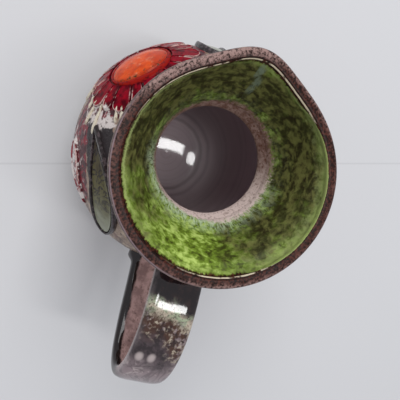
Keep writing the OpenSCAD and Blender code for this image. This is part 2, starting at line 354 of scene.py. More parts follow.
@dataclass
class Shape:
    """A mesh in the making: points, faces, marks on the points and skins of the faces."""

    points: Array
    faces: list[Sequence[int]]
    marks: Marks = field(default_factory=dict)
    skins: Array | None = None

    @staticmethod
    def quads(n: int, m: int, steps: int) -> list[Sequence[int]]:
        """Faces between n sections of m points that stand in a ring, over so many steps of a section.

        Args:
            n: how many sections.
            m: points of a section.
            steps: steps of a section that get faces.

        Returns:
            Four point numbers per face.
        """
        i, j = np.meshgrid(np.arange(n), np.arange(steps), indexing="ij")
        i1, j1 = (i + 1) % n, (j + 1) % m
        return np.stack([i * m + j, i1 * m + j, i1 * m + j1, i * m + j1], axis=-1).reshape(-1, 4).tolist()

    @classmethod
    def ring(cls, grid: Array, marks: Marks | None = None, skins: Array | None = None) -> "Shape":
        """Joins a ring of closed sections.

        Args:
            grid: sections by section points by 3.
            marks: numbers per grid point.
            skins: skin per section step.

        Returns:
            The closed shape.
        """
        n, m = grid.shape[:2]
        flat = {key: np.broadcast_to(v, (n, m)).reshape(-1) for key, v in (marks or {}).items()}
        kinds = None if skins is None else np.tile(skins, n)
        return cls(grid.reshape(-1, 3), cls.quads(n, m, m), flat, kinds)

    @classmethod
    def lathe(cls, grid: Array, marks: Marks | None = None, skins: Array | None = None) -> "Shape":
        """Joins a ring of open sections whose ends lie on the axis, with one point at each pole.

        Args:
            grid: sections by section points by 3.
            marks: numbers per grid point.
            skins: skin per section step.

        Returns:
            The closed shape.
        """
        n, m = grid.shape[:2]
        faces = cls.quads(n, m, m - 1)
        poles = np.array([grid[:, 0].mean(0), grid[:, -1].mean(0)])
        for pole, j_end in ((n * m, 0), (n * m + 1, m - 1)):
            ends = [(pole, k * m + j_end, (k + 1) % n * m + j_end) for k in range(n)]
            faces += ends if j_end else [f[::-1] for f in ends]
        kinds = None
        if skins is not None:
            ends = [np.full(n, skins[0]), np.full(n, skins[m - 2])]
            kinds = np.concatenate([np.tile(skins[: m - 1], n), *ends])
        flat = {}
        for key, values in (marks or {}).items():
            full = np.broadcast_to(values, (n, m))
            flat[key] = np.concatenate([full.reshape(-1), [full[:, 0].mean(), full[:, -1].mean()]])
        return cls(np.vstack([grid.reshape(-1, 3), poles]), faces, flat, kinds)

    @classmethod
    def pad(
        cls,
        outline: Array,
        middle: Array,
        height: Callable[[Array, Array], Array],
        sink: float,
        steps: Sequence[float] = PAD_STEPS,
    ) -> "Shape":
        """A raised pad on a flat ground, its height in z.

        Args:
            outline: the pad's closed outline, flat.
            middle: a point that sees the whole outline.
            height: gives heights from the distance to the edge and the flat place.
            sink: how far the underside lies below the ground.
            steps: shares of the way from the middle to the outline, from 1 down.

        Returns:
            The closed shape, with the distance to the edge in millimetres as mark "edge"
            and the way along it as marks "along" from -1 to 1 and "tip" from 0 to 1.
        """
        n, rows = len(outline), len(steps)
        flat = np.vstack([middle + (outline - middle) * s for s in steps] + [middle[None]])
        depth = edge_distance(flat, outline)
        top = np.column_stack([flat, height(depth, flat)])
        base = np.column_stack([np.vstack([outline, middle[None]]), np.full(n + 1, -sink)])
        i = np.arange(n)
        i1 = (i + 1) % n
        tip, low = rows * n, rows * n + 1
        faces: list[Sequence[int]] = []
        for r in range(rows - 1):
            faces += np.stack([r * n + i, r * n + i1, (r + 1) * n + i1, (r + 1) * n + i], axis=-1).tolist()
        faces += np.stack([(rows - 1) * n + i, (rows - 1) * n + i1, np.full(n, tip)], axis=-1).tolist()
        faces += np.stack([i1, i, low + i, low + i1], axis=-1).tolist()
        faces += np.stack([low + i1, low + i, np.full(n, low + n)], axis=-1).tolist()
        along = np.concatenate([flat[:, 0], base[:, 0]])
        share = 2.0 * (along - along.min()) / np.ptp(along) - 1.0
        edge = np.concatenate([depth, np.zeros(n + 1)]) * 1000.0
        return cls(np.vstack([top, base]), faces, {"edge": edge, "along": share, "tip": (share + 1.0) / 2.0})

    @classmethod
    def merged(cls, shapes: Sequence["Shape"]) -> "Shape":
        """Several shapes as the shells of one, with the marks that all of them have.

        Args:
            shapes: the shells.

        Returns:
            The one shape.
        """
        starts = np.cumsum([0] + [len(shape.points) for shape in shapes])
        faces = [tuple(start + k for k in f) for start, shape in zip(starts, shapes) for f in shape.faces]
        shared = set.intersection(*(set(shape.marks) for shape in shapes))
        marks = {key: np.concatenate([shape.marks[key] for shape in shapes]) for key in shared}
        return cls(np.vstack([shape.points for shape in shapes]), faces, marks)

    def outward(self) -> "Shape":
        """Turns every face if the shape is inside out.

        Returns:
            The shape itself.
        """
        total = 0.0
        for corners in (3, 4):
            some = np.array([f for f in self.faces if len(f) == corners], dtype=int).reshape(-1, corners)
            for k in range(1, corners - 1):
                a, b, c = self.points[some[:, 0]], self.points[some[:, k]], self.points[some[:, k + 1]]
                total += float(np.einsum("ij,ij->", a, np.cross(b, c)))
        if total < 0.0:
            self.faces = [tuple(reversed(f)) for f in self.faces]
        return self

    def mesh(self, name: str, finishes: Sequence[Material], crease: float = 50.0) -> Piece:
        """Makes the object.

        Args:
            name: the piece's name.
            finishes: one material per skin.
            crease: edges sharper than this many degrees stay sharp.

        Returns:
            The object, linked to the scene.
        """
        data = bpy.data.meshes.new(name)
        data.from_pydata(self.points.tolist(), [], self.faces)
        write_marks(data, self.marks)
        for finish in finishes:
            data.materials.append(finish)
        if self.skins is not None:
            data.polygons.foreach_set("material_index", self.skins.astype(np.int32))
        data.polygons.foreach_set("use_smooth", np.ones(len(self.faces), dtype=bool))
        data.set_sharp_from_angle(angle=math.radians(crease))
        data.update()
        return link(name, data)


def colour(code: str) -> tuple[float, float, float, float]:
    """Linear colour from a six-digit screen colour.

    Args:
        code: red, green and blue as pairs of hexadecimal digits.

    Returns:
        The colour, opaque.
    """
    parts = [int(code[k : k + 2], 16) / 255.0 for k in (0, 2, 4)]
    line = [c / 12.92 if c <= 0.04045 else ((c + 0.055) / 1.055) ** 2.4 for c in parts]
    return (line[0], line[1], line[2], 1.0)


class NodeSheet:
    """A node tree that grows one node at a time."""

    def __init__(self, tree: bpy.types.NodeTree) -> None:
        """Takes an empty tree."""
        self.tree = tree
        tree.nodes.clear()

    def node(self, kind: str, feeds: Feeds | None = None, **settings: Any) -> bpy.types.Node:
        """Adds a node.

        Args:
            kind: the node's type name.
            feeds: for each input, a value or the output that feeds it.
            settings: the node's own properties.

        Returns:
            The node.
        """
        made = self.tree.nodes.new(kind)
        for key, value in settings.items():
            setattr(made, key, value)
        for key, value in (feeds or {}).items():
            if isinstance(value, Output):
                self.tree.links.new(value.socket, made.inputs[key])
            else:
                made.inputs[key].default_value = value
        return made

    def out(self, kind: str, feeds: Feeds | None = None, key: str | int = 0, **settings: Any) -> "Output":
        """Adds a node and returns one of its outputs."""
        return Output(self, self.node(kind, feeds, **settings).outputs[key])

    def sum(self, how: str, a: Any, b: Any = 0.0) -> "Output":
        """One step of arithmetic on outputs or numbers."""
        return self.out("ShaderNodeMath", {0: a, 1: b}, operation=how)

    def vector(self, how: str, a: Any, b: Any = (0.0, 0.0, 0.0), key: str | int = 0) -> "Output":
        """One step of arithmetic on vectors; a vector is scaled by a number as b."""
        return self.out("ShaderNodeVectorMath", {0: a, 3 if how == "SCALE" else 1: b}, key, operation=how)

    def point(self, x: Any = 0.0, y: Any = 0.0, z: Any = 0.0) -> "Output":
        """A vector from its three parts."""
        return self.out("ShaderNodeCombineXYZ", {0: x, 1: y, 2: z})

    def parts(self, vector: "Output") -> list["Output"]:
        """The three parts of a vector."""
        return [Output(self, socket) for socket in self.node("ShaderNodeSeparateXYZ", {0: vector}).outputs]

    def blend(self, share: Any, a: Any, b: Any) -> "Output":
        """Mixes two colours, each a code or an output."""
        a, b = (colour(tone) if isinstance(tone, str) else tone for tone in (a, b))
        return self.out("ShaderNodeMix", {0: share, 6: a, 7: b}, 2, data_type="RGBA")


class Output:
    """What a node puts out, ready for arithmetic and for layers of colour."""

    def __init__(self, sheet: NodeSheet, socket: bpy.types.NodeSocket) -> None:
        """Ties the socket to its sheet."""
        self.sheet = sheet
        self.socket = socket

    def __add__(self, other: Any) -> "Output":
        """Sum with an output or a number."""
        return self.sheet.sum("ADD", self, other)

    def __sub__(self, other: Any) -> "Output":
        """This less an output or a number."""
        return self.sheet.sum("SUBTRACT", self, other)

    def __rsub__(self, other: float) -> "Output":
        """A number less this."""
        return self.sheet.sum("SUBTRACT", other, self)

    def __mul__(self, other: Any) -> "Output":
        """Product with an output or a number."""
        return self.sheet.sum("MULTIPLY", self, other)

    def __abs__(self) -> "Output":
        """This without its sign."""
        return self.sheet.sum("ABSOLUTE", self)

    __radd__ = __add__
    __rmul__ = __mul__

    def most(self, other: Any) -> "Output":
        """The greater of this and another."""
        return self.sheet.sum("MAXIMUM", self, other)

    def step(self, low: float, high: float) -> "Output":
        """Smooth step from 0 at low to 1 at high; the ends may be given either way round."""
        feeds = {"Value": self, "From Min": low, "From Max": high}
        return self.sheet.out("ShaderNodeMapRange", feeds, interpolation_type="SMOOTHSTEP")

    def band(self, middle: float, half: float, core: float = 0.0) -> "Output":
        """1 within core of the middle, falling to 0 at half to either side."""
        return abs(self - middle).step(half, core)

    def stray(self, amount: Any) -> "Output":
        """A pattern from 0 to 1 as a shift to either side of 0."""
        return (self - 0.5) * amount

    def lay(self, share: Any, tone: Any) -> "Output":
        """This colour with a share of another laid over it."""
        return self.sheet.blend(share, self, tone)


class FinishSheet(NodeSheet):
    """Shader nodes for one finish. Pattern scales are lumps per metre, steps shares of a pattern."""

    def __init__(self, name: str) -> None:
        """Makes the material and reads the Object coordinates.

        Args:
            name: the material's name.
        """
        self.material = bpy.data.materials.new(name)
        self.material.use_nodes = True
        super().__init__(self.material.node_tree)
        self.place = self.out("ShaderNodeTexCoord", key="Object")
        self.x, self.y, self.z = self.parts(self.place)

    def mark(self, name: str) -> Output:
        """A number kept on the mesh."""
        return self.out("ShaderNodeAttribute", key="Fac", attribute_name=name)

    def noise(
        self,
        scale: float,
        detail: float = 3.0,
        rough: float = 0.55,
        twist: float = 0.0,
        at: Output | None = None,
    ) -> Output:
        """Cloudy noise from 0 to 1, by default on Object coordinates."""
        feeds = {"Scale": scale, "Detail": detail, "Roughness": rough, "Distortion": twist}
        return self.out("ShaderNodeTexNoise", {"Vector": at or self.place, **feeds}, "Fac")

    def cells(self, scale: float, feature: str = "F1") -> Output:
        """Distance pattern of scattered cells."""
        feeds = {"Vector": self.place, "Scale": scale}
        return self.out("ShaderNodeTexVoronoi", feeds, "Distance", feature=feature)

    def flat(self) -> Output:
        """Vector from the jug's axis to the surface."""
        return self.point(self.x, self.y)

    def ray(self) -> Output:
        """That vector at unit length."""
        return self.vector("NORMALIZE", self.flat())

    def brushed(
        self, u: Output, turns: float, rise: float, detail: float, rough: float, twist: float = 0.0
    ) -> Output:
        """Noise laid out by the angle round the mouth and the way up it.

        Args:
            u: the way up the mouth.
            turns: lumps per radian of the angle.
            rise: lumps per unit of the way up.
            detail: octaves of the noise.
            rough: weight of its finer octaves.
            twist: how far it is stirred.

        Returns:
            The noise, from 0 to 1.
        """
        at = self.vector("ADD", self.vector("SCALE", self.ray(), turns), self.point(z=u * rise))
        return self.noise(1.0, detail, rough, twist, at)

    def toward(self, degrees: float, low: float, high: float) -> Output:
        """1 on the side of the jug at an angle round its axis, 0 away from it.

        Args:
            degrees: the angle, from +X toward +Y.
            low: cosine of the turn from that angle at which the share is 0.
            high: cosine of the turn at which the share is 1.

        Returns:
            The share.
        """
        way = (math.cos(math.radians(degrees)), math.sin(math.radians(degrees)), 0.0)
        return self.vector("DOT_PRODUCT", self.ray(), way, "Value").step(low, high)

    def close(self, feeds: Feeds) -> Material:
        """Ends the sheet in a shader with the given inputs.

        Args:
            feeds: the shader's inputs.

        Returns:
            The finished material.
        """
        shader = self.out("ShaderNodeBsdfPrincipled", feeds)
        self.node("ShaderNodeOutputMaterial", {"Surface": shader})
        return self.material


@dataclass(frozen=True)
class Paint:
    """What a finish hands to its shader."""

    base: Output
    rough: Output
    relief: Output


@dataclass(frozen=True)
class Finish(ABC):
    """A fired surface."""

    name: str
    relief_depth: float = 0.0003
    relief_share: float = 0.6
    specular: float = 0.5

    @abstractmethod
    def paint(self, s: FinishSheet) -> Paint:
        """Lays out colour, roughness and relief on the sheet."""

    def build(self) -> Material:
        """Makes the material.

        Returns:
            The material, with its relief as a bump.
        """
        s = FinishSheet(self.name)
        paint = self.paint(s)
        feeds = {"Strength": self.relief_share, "Distance": self.relief_depth, "Height": paint.relief}
        bump = s.out("ShaderNodeBump", feeds)
        look = {"Base Color": paint.base, "Roughness": paint.rough, "Specular IOR Level": self.specular}
        return s.close({**look, "Normal": bump})


@dataclass(frozen=True)
class MouthGlaze(Finish):
    """Glaze of the green flare, from the pale throat to the speckled lip, led by mark "flare"."""

    dark_green: str = "3a3f15"
    green: str = "6f872c"
    light_green: str = "b6cc6e"
    leaf: str = "6d7a44"
    mint: str = "c1d2b0"
    olive: str = "261f12"
    moss: str = "5e5c34"
    fringe: str = "a4b071"
    # Streak colour of a painted highlight down the inside of the spout.
    run: str = "73806f"
    throat: str = "dbc6c0"
    # Mauve of the throat where it is painted as shaded.
    mauve_throat_painted_shade: str = "957a73"
    throat_brown: str = "5f3a2c"
    hollow: str = "c8acb4"
    lip: str = "1b0d0a"
    lip_red: str = "4c261d"
    lip_mauve: str = "947973"
    cream: str = "dccdb4"
    # Lilac of the painted highlight along the lip's outer corner.
    lilac_painted_highlight: str = "8d7b80"

    def greens(self, s: FinishSheet, u: Output) -> Output:
        """Brushed flakes of green, with an olive band round the far side that is partly painted shade, and pale
        streaks low down that are partly painted highlight.

        Args:
            s: the sheet.
            u: the way up the flare.

        Returns:
            The colour.
        """
        cloud = s.noise(42.0)
        blur = s.brushed(u, 6.0, 7.0, 3.0, 0.5, 0.4)
        flakes = s.brushed(u, 11.0, 23.0, 4.0, 0.58, 0.5)
        mottle = s.noise(270.0, 3.0, 0.58)
        body = flakes * 0.46 + mottle * 0.28 + cloud * 0.26
        green = s.blend(body.step(0.38, 0.52), self.dark_green, self.green)
        green = green.lay(body.step(0.48, 0.61) * 0.9, self.light_green)
        # Olive band toward the spout and the flanks: partly olive glaze, partly painted shade where the flare gets
        # least light.
        far = s.toward(190.0, -0.45, 0.45) * 0.80 + s.toward(88.0, 0.0, 0.8) * 0.62
        far = s.sum("MINIMUM", far + s.toward(275.0, 0.2, 0.9) * 0.46, 0.80)
        green = green.lay(far * 0.75, s.blend(body.step(0.42, 0.58), self.olive, self.leaf))
        brush = s.brushed(u, 8.0, 11.0, 4.0, 0.6, 0.5)
        olive = s.blend((brush + mottle.stray(0.4)).step(0.40, 0.64), self.olive, self.moss)
        ring = (u + cloud.stray(0.30) + blur.stray(0.30)).band(0.66, 0.36, 0.18)
        depth = far * (0.46 + ring * 0.54)
        cover = (depth + blur.stray(1.5) + flakes.stray(0.7) + mottle.stray(0.6)).step(0.20, 0.66)
        green = green.lay(cover * 0.90, olive)
        # Pale mint streaks low on the flare toward the handle: thin glaze with a painted highlight.
        streak = s.brushed(u, 26.0, 9.0, 5.0, 0.66, 0.8)
        pale = s.toward(335.0, 0.2, 0.85) * 0.95 + s.toward(55.0, 0.8, 0.97) * 0.5 + 0.08
        low = (u + cloud.stray(0.3)).step(0.56, 0.16) * pale
        green = green.lay(low * streak.step(0.40, 0.58), self.mint)
        # Painted highlight: a pale streak down the inside of the spout.
        painted_spout_highlight = s.toward(178.0, 0.9988, 0.9998) * u.band(0.88, 0.15, 0.07)
        painted_spout_highlight = painted_spout_highlight + s.toward(175.0, 0.9985, 0.9997) * u.band(0.64, 0.20, 0.08)
        return green.lay(painted_spout_highlight * streak.step(0.36, 0.52) * 0.6, self.run)

    def lips(self, s: FinishSheet, u: Output) -> Output:
        """Red-brown lip, mauve toward its outer half, with a pale line along each of its corners; the lilac one
        along the outer corner, mostly on the left, is a painted highlight.

        Args:
            s: the sheet.
            u: the way over the lip.

        Returns:
            The colour.
        """
        speck = s.noise(760.0, 4.0, 0.72)
        mottle = s.noise(190.0, 3.0, 0.6)
        lines = s.brushed(u, 14.0, 6.0, 4.0, 0.6, 0.3)
        left = s.toward(305.0, 0.5, 0.85)
        bare = left + s.toward(88.0, 0.5, 0.9)
        grain = speck + mottle.stray(0.20) + lines.stray(0.45)
        lip = s.blend(grain.step(0.42, 0.62), self.lip, self.lip_red)
        half = (u + mottle.stray(0.2)).step(1.46, 1.64) * (0.75 - bare * 0.5)
        mauve = s.toward(210.0, 0.70, 0.92) * u.step(1.34, 1.50) * 0.9 + half
        lip = lip.lay(mauve * grain.step(0.34, 0.64), self.lip_mauve)
        lip = lip.lay(u.band(1.30, 0.10, 0.04) * (1.0 - bare) * 0.7, self.lip)
        broken = s.noise(150.0, 3.0, 0.6).step(0.38, 0.50)
        inner = (u + mottle.stray(0.08)).band(1.17, 0.10, 0.05) * (1.0 - bare) * broken
        lip = lip.lay(inner, self.cream)
        # Painted highlight: a lilac line along the outer corner, mostly on the left.
        outer = (u + mottle.stray(0.05)).band(1.75, 0.13, 0.05)
        return lip.lay(outer * (left * 0.75 + 0.05), self.lilac_painted_highlight)

    def throats(self, s: FinishSheet, speck: Output, mottle: Output) -> Output:
        """Speckled clay of the throat, painted pale toward the handle as if lit and mauve on the other sides as
        painted shade, browner under the spout.

        Args:
            s: the sheet.
            speck: fine noise.
            mottle: coarser noise.

        Returns:
            The colour.
        """
        # Painted light and shade: pale toward the handle, mauve away from it.
        pale = s.toward(25.0, -0.1, 0.85)
        pink = s.blend(pale, self.mauve_throat_painted_shade, self.throat)
        pink = pink.lay(speck.step(0.50, 0.62) * (0.9 - pale * 0.45), self.throat_brown)
        brown = s.toward(165.0, -0.1, 0.8) * mottle.step(0.40, 0.58) * 0.6
        return pink.lay(brown, self.throat_brown)

    def paint(self, s: FinishSheet) -> Paint:
        """Lays the zones over each other, each with a feathered edge.

        Args:
            s: the sheet.

        Returns:
            Colour, roughness and relief.
        """
        u = s.mark("flare")
        mottle = s.noise(230.0, 4.0, 0.65)
        speck = s.noise(620.0, 3.0, 0.75)
        teeth = s.brushed(u, 44.0, 2.4, 4.0, 0.7)
        wander = teeth.stray(0.20) + mottle.stray(0.10)
        rim = u + wander * 0.55 - s.toward(85.0, 0.45, 0.9) * 0.32
        edge = s.toward(260.0, 0.5, 0.95) * 0.7 + s.toward(92.0, 0.3, 0.85) * 0.7 + 0.15
        inward = (u + mottle.stray(0.40)).step(0.88, 1.02)
        band = rim.band(0.95, 0.035).most(inward * 0.5)
        base = self.greens(s, u).lay(band * edge, self.fringe)
        width = 0.10 + s.toward(100.0, -0.55, 0.5) * 0.16
        into = u + wander + speck.stray(0.22) - width
        base = base.lay(into.step(0.06, -0.03), self.throats(s, speck, mottle))
        base = base.lay(rim.step(0.972, 0.998), self.lips(s, u))
        base = base.lay(u.step(-0.01, -0.06), self.hollow)
        return Paint(base, 0.26 + mottle * 0.14, s.noise(300.0, 2.0) * 0.5 + teeth * 0.4)


@dataclass(frozen=True)
class HollowGlaze(Finish):
    """Mauve glaze inside the belly with a wet disc on its floor; the wall is painted lighter than the floor and
    palest by the handle, as painted light.
    """

    floor: str = "aa979a"
    # The wall's tones are lighter than the floor's, palest toward the handle: painted light.
    wall: str = "bfa9b1"
    pale_tone_and_painted_light: str = "eaddde"
    ring: str = "5a474b"
    wall_z: Span = (0.008, 0.044)
    disc_r: float = 0.0230
    ring_past: Span = (0.003, 0.0085)
    ring_half: float = 0.0022

    def paint(self, s: FinishSheet) -> Paint:
        """Lays the floor's tone and the wall's lighter one of painted light, then throwing rings and the two rings
        round the disc, which also paint shade past it.

        Args:
            s: the sheet.

        Returns:
            Colour, roughness and relief.
        """
        ridges = s.noise(1.0, 3.0, 0.6, at=s.point(s.z * 150.0))
        cloud = s.noise(60.0)
        rise = s.z + ridges.stray(0.012) + cloud.stray(0.010)
        # Painted light: the wall lighter than the floor and palest toward the handle.
        wall = s.blend(s.toward(5.0, 0.2, 0.9), self.wall, self.pale_tone_and_painted_light)
        base = s.blend(rise.step(*self.wall_z), self.floor, wall)
        away = s.vector("LENGTH", s.flat(), key="Value")
        turned = s.noise(1.0, 2.0, 0.5, at=s.point(away * 420.0))
        base = base.lay(turned.step(0.46, 0.62) * 0.10, self.ring)
        # Two dark rings past the disc: throwing rings that also stand for painted shade beyond it.
        past = away + cloud.stray(0.003) - self.disc_r
        first, second = (past.band(middle, self.ring_half) for middle in self.ring_past)
        base = base.lay(first * 0.5 + second * 0.35, self.ring)
        return Paint(base, 0.04 + cloud * 0.03 + past.step(-0.001, 0.001) * 0.34, cloud)


@dataclass(frozen=True)
class CrustGlaze(Finish):
    """Frothy mauve-grey glaze of the outside, dark in its pits, red by the petals, white in its foam."""

    mauve: str = "97806f"
    brown: str = "54403b"
    pale: str = "c8b29b"
    rust: str = "5f2a2a"
    pit: str = "33282a"
    wine: str = "43101a"
    scarlet: str = "7e1224"
    # Dark tone beside the leaves: painted shade with some dark glaze.
    dark_glaze_and_shade_tone: str = "241a1c"
    foam: str = "d8cdc8"
    lip: str = "4f3a35"

    def paint(self, s: FinishSheet) -> Paint:
        """Lays clouds, crackle and pits, then by its own mark a dark tone beside the leaves, painted shade with
        some dark glaze, and red and foam by marks "bloom" and "foam".

        Args:
            s: the sheet.

        Returns:
            Colour, roughness and relief.
        """
        cloud = s.noise(48.0, 4.0, 0.6)
        mottle = s.noise(260.0, 4.0, 0.65)
        lumps = s.cells(330.0, "SMOOTH_F1")
        pits = s.cells(240.0).step(0.20, 0.05)
        base = s.blend(cloud.step(0.46, 0.64), self.mauve, self.brown)
        base = base.lay(mottle.step(0.46, 0.62) * 0.75, self.pale)
        base = base.lay(s.noise(125.0, 4.0, 0.65).step(0.55, 0.66) * 0.6, self.rust)
        base = base.lay(pits * mottle.step(0.60, 0.44), self.pit)
        # Painted shade, with some dark glaze, beside the leaves' points.
        dusk = s.mark("dusk") + mottle.stray(1.0) + cloud.stray(0.6)
        base = base.lay(dusk.step(0.42, 0.62), self.dark_glaze_and_shade_tone)
        bloom = s.mark("bloom") + mottle.stray(0.9) + cloud.stray(0.8)
        red = s.blend(s.noise(200.0, 3.0, 0.6).step(0.46, 0.58), self.wine, self.scarlet)
        base = base.lay(bloom.step(0.42, 0.62), red)
        froth = (s.mark("foam") + mottle.stray(1.3) + cloud.stray(0.6)).step(0.36, 0.56)
        base = base.lay(froth, self.foam)
        crackle = pits.most(s.noise(480.0, 4.0, 0.7).step(0.54, 0.62))
        base = base.lay(crackle * froth * 0.75, self.brown)
        base = base.lay(s.mark("brow") * mottle.step(0.34, 0.52), self.lip)
        return Paint(base, 0.24 + mottle * 0.30, mottle - lumps * 0.6 - pits * 0.8)


@dataclass(frozen=True)
class HandleGlaze(Finish):
    """Wet dark glaze of the strap that breaks to cream, rust and mauve along its run."""

    dark: str = "1a1114"
    brown: str = "2c1d1c"
    cream: str = "b8ab98"
    mint: str = "9da78b"
    rust: str = "42281c"
    plum: str = "43373b"
    mauve: str = "8a7a7d"
    inner: str = "c09f9a"
    inner_dusk: str = "957976"
    shade: str = "1d1314"
    # Paler tone along the strap's edges: a painted highlight.
    edge: str = "97898a"
    # Pale tone of two painted highlights on the bend, placed by run and y with their size, and of the pale spots
    # there.
    pale_tone_and_painted_light: str = "cfc0bd"
    painted_highlight_at: tuple[Span, ...] = ((0.381, -0.0088), (0.379, -0.0022))
    painted_highlight_size: Span = (0.018, 0.0026)
    right_y: Span = (-0.002, 0.012)
    border_y: Span = (-0.0088, -0.0100)

    def outside(self, s: FinishSheet, run: Output) -> Output:
        """The outer face: dark, then a cream band, rust, plum and the mauve bend, with two painted highlights and
        pale spots on it.

        Args:
            s: the sheet.
            run: the way along the strap.

        Returns:
            The colour.
        """
        cloud = s.noise(70.0)
        mottle = s.noise(210.0, 4.0, 0.65)
        way = run + cloud.stray(0.05) + mottle.stray(0.05)
        right = s.y.step(*self.right_y)
        base = s.blend(mottle.step(0.45, 0.65), self.dark, self.brown)
        base = base.lay(way.step(0.225, 0.265), self.rust)
        base = base.lay((way - right * 0.07).step(0.285, 0.335), self.plum)
        base = base.lay(way.step(0.375, 0.45), self.mauve)
        smoke = s.noise(130.0, 4.0, 0.65).step(0.46, 0.60) * way.band(0.34, 0.10, 0.05)
        base = base.lay(smoke * 0.75, self.dark)
        flecks = way.step(0.235, 0.27) * (way - right * 0.10).step(0.345, 0.27)
        flecks = flecks * (s.noise(440.0, 3.0, 0.6) + right * 0.07).step(0.50, 0.68) * 0.75
        base = base.lay(flecks, s.blend(mottle.step(0.45, 0.58), self.cream, self.mauve))
        creamy = (way - right * 0.02).band(0.237, 0.036) * s.noise(800.0, 4.0, 0.72).step(0.34, 0.52)
        base = base.lay(creamy, s.blend(mottle.step(0.44, 0.56), self.cream, self.mint))
        # Two painted highlights on the outer face.
        for at_run, at_y in self.painted_highlight_at:
            along = (run - at_run) * (1.0 / self.painted_highlight_size[0])
            across = (s.y - at_y) * (1.0 / self.painted_highlight_size[1])
            away = along * along + across * across
            base = base.lay(away.step(1.2, 0.0) * 0.6, self.pale_tone_and_painted_light)
        swirl = s.noise(62.0, 2.0, 0.5, 2.0).band(0.5, 0.07, 0.01)
        base = base.lay(swirl * way.step(0.33, 0.40) * 0.45, self.plum)
        pearl = s.noise(90.0, 4.0, 0.65, 1.5).step(0.52, 0.66) * way.step(0.38, 0.44)
        return base.lay(pearl * 0.5, self.pale_tone_and_painted_light)

    def paint(self, s: FinishSheet) -> Paint:
        """Lays the outer face, the plain inner face with its dark border of painted shade, and the paler edges, a
        painted highlight.

        Args:
            s: the sheet.

        Returns:
            Colour, roughness and relief.
        """
        run = s.mark("run")
        mottle = s.noise(150.0, 4.0, 0.65)
        inside = s.blend(mottle.step(0.40, 0.62), self.inner, self.inner_dusk)
        inside = inside.lay(s.noise(330.0, 4.0, 0.7).step(0.54, 0.66) * 0.5, self.rust)
        base = self.outside(s, run).lay(s.mark("face").step(0.25, -0.25), inside)
        # Painted highlight along the strap's edges.
        base = base.lay(s.mark("edge") * mottle.step(0.40, 0.60) * 0.18, self.edge)
        # Painted shade along the inner face's border on the lower arm.
        border = run.step(0.47, 0.53) * (s.y + mottle.stray(0.005)).step(*self.border_y)
        base = base.lay(border * run.step(0.44, 0.56), self.shade)
        return Paint(base, 0.035 + mottle * 0.05, s.noise(240.0, 2.0) + mottle * 0.4)


@dataclass(frozen=True)
class RedGlaze(Finish):
    """Deep red glaze that thins to pale clay along the crest of a petal's edge."""

    red: str = "83051c"
    deep: str = "4c0210"
    bright: str = "a30b1e"
    pale: str = "d3b3ac"
    wine: str = "4e0714"
    foam: str = "d9cfca"
    veil: Span = (0.9, 1.0)

    def paint(self, s: FinishSheet) -> Paint:
        """Lays deep pools, a broken pale crest and dark sides by mark "edge", and froth by mark "tip".

        Args:
            s: the sheet.

        Returns:
            Colour, roughness and relief.
        """
        mottle = s.noise(260.0, 3.0, 0.6)
        tip = s.mark("tip")
        edge = s.mark("edge") + mottle.stray(0.5)
        base = s.blend(s.noise(150.0).step(0.46, 0.64), self.red, self.deep)
        base = base.lay(mottle.step(0.52, 0.68) * 0.7, self.bright)
        base = base.lay(edge.step(0.45, 0.15), self.wine)
        crest = edge.band(0.48, 0.34, 0.08) * s.noise(170.0, 3.0, 0.65).step(0.40, 0.52)
        base = base.lay(crest * tip.step(0.08, 0.40) * 0.9, self.pale)
        reach = tip + mottle.stray(0.8) + s.noise(70.0, 2.0).stray(0.8)
        froth = reach.step(0.86, 1.02) * s.x.step(-0.045, -0.015)
        froth = froth.most(s.noise(190.0, 4.0, 0.65).step(*self.veil))
        return Paint(base.lay(froth, self.foam), 0.09 + mottle * 0.12, s.noise(350.0, 2.0))


@dataclass(frozen=True)
class OrangeGlaze(Finish):
    """Orange glaze of the boss with olive specks, most of them toward its border."""

    orange: str = "dc4e08"
    # Pale orange that also stands for painted highlights.
    pale_orange_and_painted_highlight: str = "e08058"
    deep: str = "b83204"
    olive: str = "47331a"
    border: str = "a62c10"

    def paint(self, s: FinishSheet) -> Paint:
        """Lays pale clouds, partly painted highlight, and deep clouds, then a red border with specks.

        Args:
            s: the sheet.

        Returns:
            Colour, roughness and relief.
        """
        mottle = s.noise(170.0, 3.0, 0.6)
        border = (s.mark("edge") + mottle.stray(2.0)).step(3.4, 0.2)
        # Pale orange clouds, partly painted highlight.
        base = s.blend(mottle.step(0.52, 0.68) * 0.85, self.orange, self.pale_orange_and_painted_highlight)
        base = base.lay(s.noise(95.0, 2.0).step(0.48, 0.64) * 0.8, self.deep)
        base = base.lay(border * 0.8, self.border)
        speck = s.noise(400.0, 3.0, 0.7).step(0.56, 0.62) * (border + 0.25)
        return Paint(base.lay(speck, self.olive), 0.16 + mottle * 0.16, s.noise(300.0))


@dataclass(frozen=True)
class LineGlaze(Finish):
    """Glaze of a raised line, speckled in two tones."""

    ground: str = "b7a290"
    speck: str = "6b5546"
    share: Span = (0.50, 0.64)

    def paint(self, s: FinishSheet) -> Paint:
        """Lays the specks on the ground.

        Args:
            s: the sheet.

        Returns:
            Colour, roughness and relief.
        """
        mottle = s.noise(420.0, 4.0, 0.65)
        base = s.blend(mottle.step(*self.share), self.ground, self.speck)
        return Paint(base, 0.16 + mottle * 0.22, s.noise(520.0))


